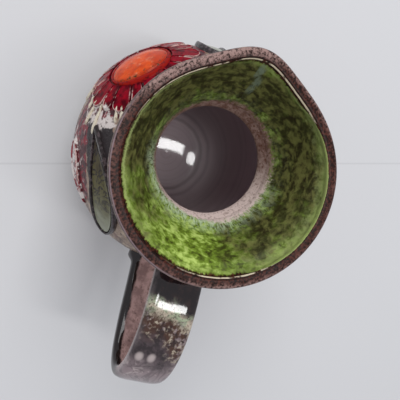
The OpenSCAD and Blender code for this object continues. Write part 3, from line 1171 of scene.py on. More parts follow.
@dataclass(frozen=True)
class PoolGlaze(Finish):
    """Glassy grey-green pool inside a leaf, with dark veins where it thins."""

    brown: str = "3a2f1e"
    green: str = "5b5531"
    grey: str = "868a70"
    vein: str = "231b19"

    def paint(self, s: FinishSheet) -> Paint:
        """Lays brown at the point by mark "along", grey at the round end, veins and a dark border.

        Args:
            s: the sheet.

        Returns:
            Colour, roughness and relief.
        """
        cloud = s.noise(120.0)
        along = s.mark("along") + cloud.stray(0.9)
        base = s.blend(along.step(-0.75, -0.05), self.brown, self.green)
        base = base.lay(along.step(-0.05, 0.95), self.grey)
        veins = s.noise(95.0, 4.0, 0.6, 1.2).band(0.5, 0.06)
        base = base.lay(veins * along.step(0.7, 0.0), self.vein)
        base = base.lay(s.mark("edge").step(1.4, 0.0) * 0.8, self.vein)
        return Paint(base, 0.06 + cloud * 0.10, s.noise(260.0, 2.0))


@dataclass(frozen=True)
class BareClay(Finish):
    """Unglazed clay of the foot, with specks of grog."""

    clay: str = "9b7f6a"
    grog: str = "5e4a3c"

    def paint(self, s: FinishSheet) -> Paint:
        """Lays a warm and cool mottle and grog specks.

        Args:
            s: the sheet.

        Returns:
            Colour, roughness and relief.
        """
        grain = s.noise(1500.0, 3.0, 0.7)
        base = s.blend(s.noise(160.0).step(0.40, 0.70), self.clay, self.grog)
        return Paint(base.lay(grain.step(0.60, 0.70), self.grog), 0.72 + grain * 0.2, grain)


@dataclass(frozen=True)
class Finishes:
    """Every finish of the jug, made once."""

    mouth: Material
    hollow: Material
    crust: Material
    handle: Material
    red: Material
    orange: Material
    boss_line: Material
    leaf_rim: Material
    leaf_pool: Material
    drop: Material
    cream: Material
    clay: Material

    @classmethod
    def fire(cls) -> "Finishes":
        """Builds all materials.

        Returns:
            The materials.
        """
        even = {"relief_share": 0.5}
        glassy = {"relief_depth": 0.0001, "relief_share": 0.2}
        boss_line = {"ground": "951810", "speck": "5e0c12", "share": (0.48, 0.64)}
        leaf_line = {"ground": "54494c", "speck": "1f1718", "share": (0.40, 0.54)}
        cream = {"ground": "ddd2bd", "speck": "a08e74", "share": (0.52, 0.66)}
        finishes = {
            "mouth": MouthGlaze("mouth_glaze_finish", relief_depth=0.00025, specular=0.1, **even),
            "hollow": HollowGlaze("hollow_glaze_finish", **glassy),
            "crust": CrustGlaze("crust_glaze_finish", relief_depth=0.0008, relief_share=0.8),
            "handle": HandleGlaze("handle_glaze_finish", **glassy),
            "red": RedGlaze("red_glaze_finish", specular=0.05, **even),
            "orange": OrangeGlaze("orange_glaze_finish", specular=0.15, **even),
            "boss_line": LineGlaze("boss_line_finish", specular=0.05, **boss_line),
            "leaf_rim": LineGlaze("leaf_line_finish", **leaf_line),
            "leaf_pool": PoolGlaze("leaf_pool_finish", relief_depth=0.0002, specular=0.35),
            "drop": RedGlaze("drop_glaze_finish", specular=0.3, veil=(0.46, 0.56), **even),
            "cream": LineGlaze("cream_run_finish", **cream),
            "clay": BareClay("bare_clay_finish", relief_depth=0.0004),
        }
        return cls(**{key: finish.build() for key, finish in finishes.items()})


def settle(piece: Piece, nodes: Sequence[str] = ()) -> None:
    """Lets a piece stand for its solids on the jug's body.

    Args:
        piece: the finished object.
        nodes: names of the solids it stands for.
    """
    if nodes:
        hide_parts(*nodes)
    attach(piece, "root")
    solids = ", ".join(nodes) or "no solid"
    log.info("%s: %d faces, stands for %s", piece.name, len(piece.data.polygons), solids)


@dataclass(frozen=True)
class Body:
    """The thrown body: foot, belly, collar, rim and the coat inside the mouth."""

    form: JugForm
    finishes: Finishes
    relief: "Relief"
    lump: float = 0.00035
    throwing: float = 0.000012
    floor_pitch: float = 0.0012
    wall_pitch: float = 0.0010
    well_r: float = 0.017
    well_edge: float = 0.003
    bowl: float = 3.6
    bowl_r: float = 0.0615
    bowl_from: float = 0.052
    bowl_blend: float = 0.011
    floor_wave: float = 0.00012
    floor_wave_r: Span = (0.060, 0.045)
    foot_round: float = 0.003
    bare_z: float = 0.0042
    seam: float = 0.00005
    flare_seam: float = 0.002
    waist_round: Span = (0.009, 0.002)
    throat_round: Span = (0.004, 0.001)
    throat_step: float = 0.0004
    lip_square: float = 0.55
    lip_inside: float = 1.80
    coat_sink: float = 0.00015
    coat_back: float = 0.0006
    fillet_pass: int = 90
    bloom_fade: Span = (0.011, -0.004)
    foam_start: Span = (-0.005, 0.0)
    foam_end: Span = (0.011, 0.004)
    foam_side_x: Span = (-0.020, 0.010)
    dark_glaze_and_shade_reach: float = 0.006
    spill_at: Span = (0.012, -0.004)
    spill_size: Span = (0.036, 0.018)
    spill_red: float = 0.90
    spill_foam: float = 0.34

    def crusted(self, grid: Array, share: Array | float = 1.0) -> Array:
        """Sinks points of the outside along the ball's rays between the lumps of the crust.

        Args:
            grid: the points.
            share: how much each point sinks.

        Returns:
            The sunk points.
        """
        middle = np.array([0.0, 0.0, self.form.belly_z])
        ray = grid - middle
        ray /= np.linalg.norm(ray, axis=-1, keepdims=True)
        height = 0.6 * drift(grid, 120.0, 3.1) + 0.4 * drift(grid, 330.0, 7.7)
        return grid + ray * (self.lump * (height - 1.0) * share)[..., None]

    def bloom(self, grid: Array) -> Marks:
        """Marks points of the outside.

        Args:
            grid: the points.

        Returns:
            Mark "bloom" for the red ground of the flowers and what spilled from it, "foam" for the froth beside the
            flowers, and one more for the dark tone beside the leaves, painted shade with some dark glaze.
        """
        relief = self.relief
        marks = {key: np.zeros(grid.shape[:2]) for key in ("bloom", "foam", "dusk")}
        handle_side = ease(grid[..., 0], *self.foam_side_x)
        for flower, leaf, drop in zip(relief.flowers, relief.leaves, relief.drops):
            past = np.linalg.norm(flower.unlay(grid), axis=-1) - relief.flower_r
            foam = ease(past, *self.foam_start) * ease(past, *self.foam_end) * handle_side
            spill = (drop.unlay(grid) - np.array(self.spill_at)) / np.array(self.spill_size)
            spill = ease(np.linalg.norm(spill, axis=-1), 1.0, 0.6)
            flat = leaf.unlay(grid)
            way = flat[..., 0] / relief.leaf_l * 2.0
            off = np.abs(flat[..., 1] + relief.leaf_bow * flat[..., 0] ** 2) - relief.leaf_w / 2.0
            # Painted shade, with some dark glaze, along the leaves' pointed halves.
            near = ease(off, self.dark_glaze_and_shade_reach, 0.0) * ease(np.abs(way), 1.25, 1.0)
            shares = {
                "bloom": np.maximum(ease(past, *self.bloom_fade), self.spill_red * spill),
                "foam": np.maximum(foam, self.spill_foam * spill),
                "dusk": near * ease(way, 0.25, -0.3),
            }
            marks = {key: np.maximum(marks[key], share) for key, share in shares.items()}
        return marks

    def foot(self) -> None:
        """The turned foot with its bare ring."""
        f = self.form
        ring_in = f.foot_r - f.foot_ring_w
        recess = f.foot_recess_h
        under = [[0.0, recess], [ring_in * 0.5, recess], [ring_in - self.foot_round, recess]]
        lip = [[ring_in, recess], [ring_in, 0.0], [f.foot_r, 0.0]]
        flank = f.wall(f.belly_r, np.linspace(0.0, f.floor_t, 10))
        corners = np.vstack([under, lip, flank[1:]])
        run = run_length(corners)
        at = np.concatenate([np.linspace(0.0, run[2], 12, endpoint=False), np.linspace(run[2], run[-1], 60)])
        free = np.where((at > run[2]) & (at < run[5] + self.foot_round), 1.0, 0.0)
        lower = soften(along_line(at, run, corners), free, 6)
        line = np.vstack([lower, [[flank[-1, 0] / 2.0, f.floor_t], [0.0, f.floor_t]]])
        line[0, 0] = line[-1, 0] = POLE_R
        skins = np.full(len(line), Skin.OUTSIDE.value)
        skins[: len(lower) - 1] = np.where(lower[1:, 1] < self.bare_z, Skin.BARE.value, Skin.OUTSIDE.value)
        shape = Shape.lathe(f.turn(line), {}, skins).outward()
        piece = shape.mesh("jug_foot", [self.finishes.crust, self.finishes.mouth, self.finishes.clay])
        settle(piece, ["foot_base"])

    def hollow(self) -> Array:
        """Section of the hollow in the belly: down the wall and over the dished floor to the axis.

        Returns:
            Distances from the axis and heights.
        """
        f = self.form
        r = np.linspace(self.bowl_r, 0.0, 96)
        wall = f.belly_z - np.sqrt(f.bore_r**2 - r**2)
        dish = f.floor_t + self.bowl * r**2
        floor = (dish + wall + np.hypot(dish - wall, self.bowl_blend)) / 2.0
        z = wall + (floor - wall) * ease(r, r[0], self.bowl_from)
        rings = ease(r, self.well_r, self.well_r + self.well_edge)
        z = z + self.throwing * np.sin(r / self.floor_pitch) * rings
        z_wall = np.linspace(f.collar_z, z[0], 46)[:-1]
        r_wall = f.ball(f.bore_r, z_wall) + self.throwing * np.sin(z_wall / self.wall_pitch)
        return np.vstack([np.column_stack([r_wall, z_wall]), np.column_stack([r, z])])

    def belly(self) -> None:
        """The ball-shaped wall, crusted outside, with throwing rings and a dished floor inside."""
        f = self.form
        z_out = np.linspace(f.floor_t, f.collar_z, 118)
        z_out = np.sort(np.concatenate([z_out, [f.floor_t + self.seam, f.collar_z - self.seam]]))
        base = np.array([[POLE_R, f.floor_t], [f.foot_r / 2.0, f.floor_t]])
        inner = self.hollow()
        inner[-1, 0] = POLE_R
        outer = self.crusted(f.turn(f.wall(f.belly_r, z_out)))
        hollow = f.turn(inner)
        wave = self.floor_wave * (drift(hollow, 62.0, 2.9) * ease(inner[:, 0], *self.floor_wave_r))
        hollow[:, :-1, 2] += wave[:, :-1]
        grid = np.concatenate([f.turn(base), outer, hollow], axis=1)
        skins = np.repeat([Skin.OUTSIDE.value, Skin.INSIDE.value], [len(base) + len(z_out), len(inner)])
        shape = Shape.lathe(grid, self.bloom(grid), skins).outward()
        piece = shape.mesh("jug_belly", [self.finishes.crust, self.finishes.hollow])
        settle(piece, ["lower_bowl", "belly_lower_ring", "belly_upper_ring", "shoulder_dome"])

    def collar(self) -> None:
        """The throat ring that joins shoulder and flare, rounded at its waist and its throat."""
        f = self.form
        z_low = np.insert(np.linspace(f.collar_z, f.throat_z, 12), 1, f.collar_z + self.seam)
        u_up = np.concatenate([np.linspace(0.0, f.rim_from, 30)[1:], [f.rim_from]])
        u_up[-2] = f.rim_from - self.flare_seam
        u_down = u_up[::-1]
        outer = np.vstack([f.wall(f.belly_r, z_low), np.column_stack([f.flare_out(u_up), f.flare_z(u_up)])])
        outer = soften(outer, ease(np.abs(outer[:, 1] - f.throat_z), *self.waist_round), self.fillet_pass)
        z_bore = np.linspace(f.throat_z - self.throat_step, f.collar_z, 14)
        bore = np.column_stack([np.maximum(f.ball(f.bore_r, z_bore), f.throat_r), z_bore])
        flare = np.column_stack([f.flare_in(u_down), f.flare_z(u_down)])
        inner = np.vstack([flare, [[f.throat_r, f.throat_z]], bore])
        inner = soften(inner, ease(np.abs(inner[:, 1] - f.throat_z), *self.throat_round), 8)
        rise = np.concatenate([u_down, [0.0], (z_bore - f.throat_z) / f.mouth_h])
        grid = np.concatenate([self.crusted(f.turn(outer)), f.turn(inner)], axis=1)
        skins = np.repeat([Skin.OUTSIDE.value, Skin.INSIDE.value], [len(outer), len(inner)])
        marks = {"flare": np.concatenate([np.full(len(outer), 3.0), rise]), **self.bloom(grid)}
        shape = Shape.ring(grid, marks, skins).outward()
        piece = shape.mesh("throat_ring", [self.finishes.crust, self.finishes.mouth])
        settle(piece, ["throat_collar"])

    def rim(self) -> None:
        """The upper flare with its squared lip and pressed spout."""
        f = self.form
        a = f.angles[:, None]
        u_out = np.insert(np.linspace(f.rim_from, 1.0, 26), 1, f.rim_from + self.flare_seam)
        u_in = u_out[::-1]
        turn = np.radians(np.linspace(0.0, 180.0, 27)[1:-1])
        half = f.lip_t / 2.0
        cap_r = half * rounded(np.cos(turn), self.lip_square)
        cap_z = f.lip_z + half * np.sin(turn) ** self.lip_square
        radii = [
            f.flare_out(u_out) + f.mouth_add(a, u_out),
            f.mouth_r + f.mouth_add(a, np.ones_like(turn)) + cap_r,
            f.flare_in(u_in) + f.mouth_add(a, u_in),
        ]
        z = np.concatenate([f.flare_z(u_out), cap_z, f.flare_z(u_in)])
        grid = f.spin(np.concatenate(radii, axis=1), z)
        n_out, n_cap, n_in = len(u_out), len(turn), len(u_in)
        grid[:, :n_out] = self.crusted(grid[:, :n_out], ease(u_out, 1.0, 0.8))
        cap_mark = 2.0 - np.degrees(turn) / 180.0
        flare = np.concatenate([2.0 + 2.0 * (1.0 - u_out), cap_mark, u_in])
        brow = np.concatenate([ease(u_out, 0.90, 1.0), np.ones(n_cap), np.zeros(n_in)])
        skins = np.full(n_out + n_cap + n_in, Skin.INSIDE.value)
        skins[: n_out + int((cap_mark > self.lip_inside).sum())] = Skin.OUTSIDE.value
        shape = Shape.ring(grid, {"flare": flare, "brow": brow}, skins).outward()
        piece = shape.mesh("mouth_lip", [self.finishes.crust, self.finishes.mouth])
        settle(piece, ["mouth_rim"])

    def coat(self) -> None:
        """The green coat inside the flare, run in streaks and thinned out at both edges."""
        f = self.form
        a = f.angles[:, None]
        u = np.linspace(*f.coat, 50)
        share = (u - u[0]) / (u[-1] - u[0])
        body = ease(share, 0.0, 0.14) * ease(share, 1.0, 0.9)
        spokes = np.stack(np.broadcast_arrays(np.cos(a), np.sin(a), 0.35 * u[None]), axis=-1)
        run = 0.72 + 0.28 * drift(spokes, 9.0, 5.3) + 0.12 * drift(spokes, 24.0, 1.9)
        thick = f.glaze_t * body * np.clip(run, 0.3, 1.0) - self.coat_sink * (1.0 - body)
        wall = f.flare_in(u) + f.mouth_add(a, u)
        radius = np.concatenate([wall + self.coat_back, (wall - thick)[:, ::-1]], axis=1)
        grid = f.spin(radius, np.concatenate([f.flare_z(u), f.flare_z(u)[::-1]]))
        shape = Shape.ring(grid, {"flare": np.concatenate([u, u[::-1]])}).outward()
        settle(shape.mesh("green_coat", [self.finishes.mouth]), ["mouth_glaze"])

    def build(self) -> None:
        """Makes every piece of the body."""
        self.foot()
        self.belly()
        self.collar()
        self.rim()
        self.coat()


class GeometrySheet(NodeSheet):
    """A Geometry Nodes tree with named inputs, run once on one object."""

    kinds: dict[type, str] = {
        bpy.types.Object: "NodeSocketObject",
        bpy.types.Material: "NodeSocketMaterial",
        tuple: "NodeSocketVector",
        float: "NodeSocketFloat",
        int: "NodeSocketInt",
    }

    def __init__(self, name: str, values: dict[str, Any]) -> None:
        """Makes the tree.

        Args:
            name: the tree's name.
            values: a value for each named input, with the material under "Finish".
        """
        super().__init__(bpy.data.node_groups.new(name, "GeometryNodeTree"))
        self.values = values
        face = self.tree.interface
        face.new_socket(name="Geometry", in_out="INPUT", socket_type="NodeSocketGeometry")
        self.ids: dict[str, str] = {}
        for key, value in values.items():
            made = face.new_socket(name=key, in_out="INPUT", socket_type=self.kinds[type(value)])
            self.ids[key] = made.identifier
        face.new_socket(name="Geometry", in_out="OUTPUT", socket_type="NodeSocketGeometry")
        self.given = {socket.name: Output(self, socket) for socket in self.node("NodeGroupInput").outputs}

    def shape_of(self, key: str) -> Output:
        """Geometry of the object given under a name."""
        return self.out("GeometryNodeObjectInfo", {"Object": self.given[key]}, "Geometry")

    def chance(self, low: Any, high: Any, feeds: Feeds | None = None) -> Output:
        """A random number per element, drawn with the given seed."""
        feeds = {2: low, 3: high, "Seed": self.given["Seed"], **(feeds or {})}
        return self.out("FunctionNodeRandomValue", feeds, 1, data_type="FLOAT")

    def close(self, geometry: Output) -> None:
        """Ends the tree in real geometry that wears the given material.

        Args:
            geometry: what the tree made.
        """
        real = self.out("GeometryNodeRealizeInstances", {"Geometry": geometry})
        dressed = self.out("GeometryNodeSetMaterial", {"Geometry": real, "Material": self.given["Finish"]})
        self.node("NodeGroupOutput", {"Geometry": dressed})

    def run(self, name: str, source: Piece) -> Piece:
        """Runs the tree on an object.

        Args:
            name: name of the plain mesh piece.
            source: the object the tree starts from; it is removed, and so are the objects given to the tree.

        Returns:
            The plain mesh piece.
        """
        modifier = source.modifiers.new(name, "NODES")
        modifier.node_group = self.tree
        for key, value in self.values.items():
            modifier[self.ids[key]] = value
        bpy.context.view_layer.update()
        seen = source.evaluated_get(bpy.context.evaluated_depsgraph_get())
        data = bpy.data.meshes.new_from_object(seen)
        data.name = name
        source.modifiers.remove(modifier)
        for used in [source, *(value for value in self.values.values() if isinstance(value, Piece))]:
            bpy.data.objects.remove(used)
        data.polygons.foreach_set("use_smooth", np.ones(len(data.polygons), dtype=bool))
        return link(name, data)


def thread(name: str, points: Array, closed: bool, marks: Marks) -> Piece:
    """A chain of edges that a tree can turn into a curve.

    Args:
        name: the object's name.
        points: places along the chain.
        closed: whether the last point joins the first.
        marks: numbers per point.

    Returns:
        The object, linked to the scene.
    """
    n = len(points)
    data = bpy.data.meshes.new(name)
    data.from_pydata(points.tolist(), [(k, (k + 1) % n) for k in range(n if closed else n - 1)], [])
    write_marks(data, marks)
    return link(name, data)


@dataclass(frozen=True)
class Handle:
    """The pulled strap with its two slip joints."""

    form: JugForm
    finishes: Finishes
    width: float = 0.027
    thick: float = 0.0085
    out: float = 0.058
    foot_up: float = 0.010
    lute_l: float = 0.007
    lute_flare: float = 0.003
    root_share: float = 0.28
    square: float = 0.55
    hollow: float = 0.0001
    hollow_share: float = 0.32
    edge_share: Span = (0.40, 0.48)
    bury: float = 0.0035
    uneven: float = 0.00012
    guide: tuple[Span, ...] = (
        (0.0, 0.9),
        (0.78, 1.76),
        (1.1, 0.62),
        (1.66, 0.32),
        (0.4, 0.26),
    )

    def path(self, t: Array) -> tuple[Array, Array]:
        """Places and unit ways along the strap's middle line.

        Args:
            t: shares of the way from root to foot.

        Returns:
            Places and ways, in the plane of the strap.
        """
        f = self.form
        root = (float(f.flare_out(np.array(self.root_share))), float(f.flare_z(np.array(self.root_share))))
        foot_z = f.belly_z + self.foot_up
        foot = (float(f.ball(f.belly_r, np.array(foot_z))), foot_z)
        rise = root[1] - foot_z
        bends = [(f.belly_r + self.out * x, foot_z + rise * y) for x, y in self.guide]
        knots = np.array([root, *bends, foot])

        def curve(p: Array) -> Array:
            """Places on the Bezier curve of some knots.

            Args:
                p: the knots.

            Returns:
                One place per share.
            """
            rows = np.repeat(p[None], len(t), axis=0)
            while rows.shape[1] > 1:
                rows = rows[:, :-1] + (rows[:, 1:] - rows[:, :-1]) * t[:, None, None]
            return rows[:, 0]

        way = curve(np.diff(knots, axis=0))
        return curve(knots), way / np.linalg.norm(way, axis=1, keepdims=True)

    def profile(self) -> Piece:
        """The strap's section, with marks for its edges, where a highlight is painted, and its outer face.

        Returns:
            A closed chain of edges.
        """
        b = full_turn(72)
        across = self.width / 2.0 * rounded(np.cos(b), self.square)
        up = self.thick / 2.0 * rounded(np.sin(b), self.square)
        up = up - np.sign(up) * self.hollow * np.exp(-((across / (self.hollow_share * self.width)) ** 2))
        edge = ease(np.abs(across), *(share * self.width for share in self.edge_share))
        points = np.column_stack([across, up, np.zeros(len(b))])
        return thread("strap_profile", points, True, {"edge": edge, "face": -np.sin(b)})

    def tree(self) -> GeometrySheet:
        """The tree that sweeps the profile along the strap and swells it where it is luted on.

        Returns:
            The tree, ready to run.
        """
        values = {"Profile": self.profile(), "Unevenness": self.uneven, "Finish": self.finishes.handle}
        g = GeometrySheet("swept_strap", values)
        path = g.out("GeometryNodeMeshToCurve", {"Mesh": g.given["Geometry"]})
        profile = g.out("GeometryNodeMeshToCurve", {"Mesh": g.shape_of("Profile")})
        swept = g.out("GeometryNodeCurveToMesh", {"Curve": path, "Profile Curve": profile, "Fill Caps": True})
        grow = g.out("GeometryNodeInputNamedAttribute", {"Name": "grow"}, data_type="FLOAT")
        wobble = g.out("ShaderNodeTexNoise", {"Scale": 55.0, "Detail": 2.0}, "Fac")
        swell = grow + wobble.stray(g.given["Unevenness"])
        offset = g.vector("SCALE", g.out("GeometryNodeInputNormal"), swell)
        g.close(g.out("GeometryNodeSetPosition", {"Geometry": swept, "Offset": offset}))
        return g

    def build(self) -> None:
        """Sweeps the strap from inside the collar to inside the belly's wall."""
        place, way = self.path(np.linspace(0.0, 1.0, 110))
        place = np.vstack([place[0] - way[0] * self.bury, place, place[-1] + way[-1] * self.bury])
        run = run_length(place)
        ends = ease(np.minimum(run, run[-1] - run), self.bury + self.lute_l, self.bury)
        points = np.column_stack([place[:, 0], np.zeros(len(place)), place[:, 1]])
        path = thread("strap_path", points, False, {"grow": self.lute_flare * ends**2, "run": run / run[-1]})
        piece = self.tree().run("strap_handle", path)
        settle(piece, ["handle_strap", "handle_root_lute", "handle_foot_lute"])


@dataclass(frozen=True)
class Spot:
    """A place on the ball where a flat outline is laid on, its +X toward the handle and +Y up."""

    form: JugForm
    az: float
    lat: float
    turn: float = 0.0
    side: Side = Side.FRONT

    @property
    def spin(self) -> Array:
        """Rotation from the flat outline's own axes to the jug's."""
        turn, lean, az = (math.radians(v) for v in (self.turn, 90.0 - self.lat, self.az))
        tilt = Matrix.Rotation(az, 3, "Z") @ Matrix.Rotation(lean, 3, "X")
        return np.array(tilt @ Matrix.Rotation(turn, 3, "Z"))

    @property
    def flip(self) -> Array:
        """Factors that carry the front flank to the spot's own side."""
        return np.array([1.0, -1.0 if self.side is Side.BACK else 1.0, 1.0])

    def lay(self, points: Array) -> Array:
        """Carries flat points with heights in z onto the ball.

        Args:
            points: flat places with heights.

        Returns:
            Places on the jug.
        """
        f = self.form
        lift = np.sqrt((f.belly_r + points[:, 2]) ** 2 - points[:, 0] ** 2 - points[:, 1] ** 2)
        laid = np.column_stack([points[:, :2], lift]) @ self.spin.T + np.array([0.0, 0.0, f.belly_z])
        return laid * self.flip

    def unlay(self, points: Array) -> Array:
        """Flat places of points near the ball; those on its far half are put far off.

        Args:
            points: places on the jug.

        Returns:
            Flat places.
        """
        f = self.form
        local = (points * self.flip - np.array([0.0, 0.0, f.belly_z])) @ self.spin
        local = local * (f.belly_r / np.linalg.norm(local, axis=-1, keepdims=True))
        return np.where(local[..., 2:] > 0.0, local[..., :2], 1.0)


@dataclass(frozen=True)
class Relief:
    """The flowers and leaves laid on the belly."""

    form: JugForm
    finishes: Finishes
    flower_r: float = 0.035
    flower_tuck: float = 0.0063
    boss_r: float = 0.0175
    boss_h: float = 0.0026
    boss_edge_h: float = 0.0013
    boss_oval: float = 0.80
    boss_rise: float = 0.7
    boss_round: float = 0.0009
    boss_wave: float = 0.00022
    ring_w: float = 0.0012
    petal_n: int = 18
    petal_h: float = 0.0013
    petal_full_w: float = 0.0042
    petal_round: float = 0.0005
    petal_pool: Span = (0.0006, 0.0013)
    petal_wave: float = 0.00012
    petal_wave_from: Span = (0.0002, 0.001)
    groove_w: float = 0.0007
    wide_share: float = 0.58
    narrow_reach: float = 0.92
    tip_share: float = 0.32
    uneven: float = 0.02
    leaf_l: float = 0.0693
    leaf_w: float = 0.021
    leaf_bend: float = 0.15
    leaf_lat: float = 33.2
    leaf_tilt: float = -22.0
    red_leaf_l: float = 0.0399
    red_leaf_w: float = 0.0133
    red_leaf_lat: float = 10.0
    red_leaf_at: float = 0.75
    spout_leaf_l: float = 0.0539
    spout_leaf_w: float = 0.035
    spout_leaf_lat: float = 9.0
    rim_w: float = 0.0026
    rim_h: float = 0.0026
    vein_w: float = 0.0036
    pool_h: float = 0.0013
    pool_border: Span = (0.0019, 0.0007)
    pool_wave: float = 0.00015
    edge_round: float = 0.0006
    gap: float = 0.001
    foam_gap: float = 0.0085
    sink: float = 0.0008
    run_n: int = 9
    run_h: float = 0.0007
    run_fan: float = 124.0
    run_sway: float = 5.0
    run_l: float = 0.0105
    run_l_sway: float = 0.0045
    run_w: float = 0.0024
    run_w_sway: float = 0.0007
    run_tuck: float = 0.0035
    run_step: float = 0.002

    def arc(self, length: float, lat: float = 0.0) -> float:
        """Angle that a length takes up on the ball at a latitude."""
        return math.degrees(math.asin(min(length / self.form.belly_r / math.cos(math.radians(lat)), 1.0)))

    @property
    def flower_lat(self) -> float:
        """Latitude of the flower's middle, hung from the edge of the collar."""
        f = self.form
        collar = math.degrees(math.asin((f.collar_z - f.belly_z) / f.belly_r))
        return collar + self.arc(self.flower_tuck) - self.arc(self.flower_r)

    @property
    def flower_az(self) -> float:
        """Angle of the flower's middle, beside the leaf under the spout."""
        leaf_edge = -90.0 + self.arc(self.spout_leaf_w / 2.0, self.spout_leaf_lat)
        return leaf_edge + self.arc(self.gap) + self.arc(self.flower_r, self.flower_lat)

    @property
    def flower_edge_az(self) -> float:
        """Angle at which the flower ends toward the handle."""
        return self.flower_az + self.arc(self.flower_r, self.flower_lat)

    @property
    def leaf_az(self) -> float:
        """Angle of the middle of the green leaf."""
        return self.flower_edge_az + self.arc(self.foam_gap) + self.arc(self.leaf_l / 2.0, self.leaf_lat)

    @property
    def red_leaf_az(self) -> float:
        """Angle of the middle of the small red leaf."""
        return self.flower_edge_az + (self.leaf_az - self.flower_edge_az) * self.red_leaf_at

    @property
    def leaf_bow(self) -> float:
        """How sharply the green leaf's midrib bows: its drop per square of the way along it."""
        return 4.0 * self.leaf_bend / self.leaf_l

    @property
    def flowers(self) -> tuple[Spot, ...]:
        """Where the two flowers sit."""
        return tuple(Spot(self.form, self.flower_az, self.flower_lat, 0.0, side) for side in Side)

    @property
    def leaves(self) -> tuple[Spot, ...]:
        """Where the two green leaves lie."""
        return tuple(Spot(self.form, self.leaf_az, self.leaf_lat, self.leaf_tilt, side) for side in Side)

    @property
    def drops(self) -> tuple[Spot, ...]:
        """Where the two small red leaves lie."""
        return tuple(Spot(self.form, self.red_leaf_az, self.red_leaf_lat, 180.0, side) for side in Side)

    def petal(self, wide: bool) -> Shape:
        """One flat petal along +X, with a raised edge round a shallow pool.

        Args:
            wide: whether it is one of the wide petals.

        Returns:
            The closed shape.
        """
        base = self.boss_r + self.ring_w + self.groove_w
        reach = self.flower_r if wide else base + (self.flower_r - base) * self.narrow_reach
        turn = math.radians(720.0 / self.petal_n)
        share = self.wide_share if wide else 1.0 - self.wide_share
        groove = math.asin(self.groove_w / 2.0 / (base + (self.flower_r - base) * self.wide_share))
        half, tip = turn / 2.0 * share - groove, (reach - base) * self.tip_share
        s = np.radians(np.linspace(-90.0, 90.0, 41))
        r = np.concatenate([reach - tip + tip * np.cos(s), np.full(9, base)])
        a = np.concatenate([half * np.sin(s), half * np.linspace(1.0, -1.0, 9)])
        outline = resample(np.column_stack([r * np.cos(a), r * np.sin(a)]), 92)
        wall = min(1.0, half * base / self.petal_full_w)

        def height(depth: Array, flat: Array) -> Array:
            """Height of the raised edge and the pool.

            Args:
                depth: distances from the edge.
                flat: flat places.

            Returns:
                Heights over the ball.
            """
            d = depth / wall
            side = 0.10 + 0.90 * ease(d, 0.0, self.petal_round)
            ridge = self.petal_h * side * (1.0 - 0.30 * ease(d, *self.petal_pool))
            return ridge + self.petal_wave * flat_drift(flat, 260.0, 2.3) * ease(d, *self.petal_wave_from)

        middle = np.array([base + 0.52 * (reach - base), 0.0])
        return Shape.pad(outline, middle, height, self.sink).outward()

    def petal_tree(self, side: Side) -> GeometrySheet:
        """The tree that sets petals round the boss by turns and lays them on the ball.

        Args:
            side: the flower's flank.

        Returns:
            The tree, ready to run.
        """
        back = side is Side.BACK
        az = 180.0 - self.flower_az if back else self.flower_az
        values = {
            "Wide Petal": self.petal(True).mesh("wide_petal", [self.finishes.red]),
            "Narrow Petal": self.petal(False).mesh("narrow_petal", [self.finishes.red]),
            "Pairs": self.petal_n // 2,
            "First Angle": math.pi if back else 0.0,
            "Pair Turn": math.radians(720.0 / self.petal_n) * (-1.0 if back else 1.0),
            "Unevenness": self.uneven,
            "Ball Radius": self.form.belly_r,
            "Aim": (math.radians(90.0 - self.flower_lat), 0.0, math.radians(az)),
            "Lift": (0.0, 0.0, self.form.belly_z),
            "Seed": 4 if back else 11,
            "Finish": self.finishes.red,
        }
        g = GeometrySheet("petal_wreath", values)
        given = g.given
        spots = g.out("GeometryNodeMeshLine", {"Count": given["Pairs"], "Offset": (0.0, 0.0, 0.0)})
        index = g.out("GeometryNodeInputIndex")
        joined = g.node("GeometryNodeJoinGeometry")
        for half, key in ((0.0, "Wide Petal"), (0.5, "Narrow Petal")):
            stray = g.chance(-1.0, 1.0, {"ID": index}) * given["Unevenness"]
            angle = given["First Angle"] + (index + half + stray) * given["Pair Turn"]
            size = 1.0 - abs(stray)
            feeds = {"Points": spots, "Instance": g.shape_of(key)}
            feeds |= {"Rotation": g.point(z=angle), "Scale": g.point(size, 1.0, size)}
            placed = g.out("GeometryNodeInstanceOnPoints", feeds)
            real = g.out("GeometryNodeRealizeInstances", {"Geometry": placed})
            g.tree.links.new(real.socket, joined.inputs[0])
        x, y, z = g.parts(g.out("GeometryNodeInputPosition"))
        reach = g.sum("POWER", z + given["Ball Radius"], 2.0)
        lift = g.sum("SQRT", reach - (x * x + y * y))
        feeds = {"Geometry": Output(g, joined.outputs[0]), "Position": g.point(x, y, lift)}
        curved = g.out("GeometryNodeSetPosition", feeds)
        feeds = {"Geometry": curved, "Translation": given["Lift"], "Rotation": given["Aim"]}
        g.close(g.out("GeometryNodeTransform", feeds))
        return g

    def wreath(self, side: Side) -> None:
        """The petals of one flower.

        Args:
            side: the flower's flank.
        """
        tree = self.petal_tree(side)
        start = thread(f"{side.value}_wreath_start", np.zeros((2, 3)), False, {})
        piece = tree.run(f"{side.value}_petal_wreath", start)
        settle(piece, [f"{side.value}_petal_{k:02d}" for k in range(1, self.petal_n + 1)])

    def boss(self, side: Side, spot: Spot) -> None:
        """The orange boss and the raised line round it.

        Args:
            side: the flower's flank.
            spot: the flower's middle.
        """
        f = self.form
        edge_z = math.sqrt((f.belly_r + self.boss_edge_h) ** 2 - self.boss_r**2)
        drop = f.belly_r + self.boss_h - edge_z
        ball = (self.boss_r**2 + drop**2) / (2.0 * drop)
        a = full_turn(120)
        outline = self.boss_r * np.column_stack([np.cos(a), self.boss_oval * np.sin(a)])

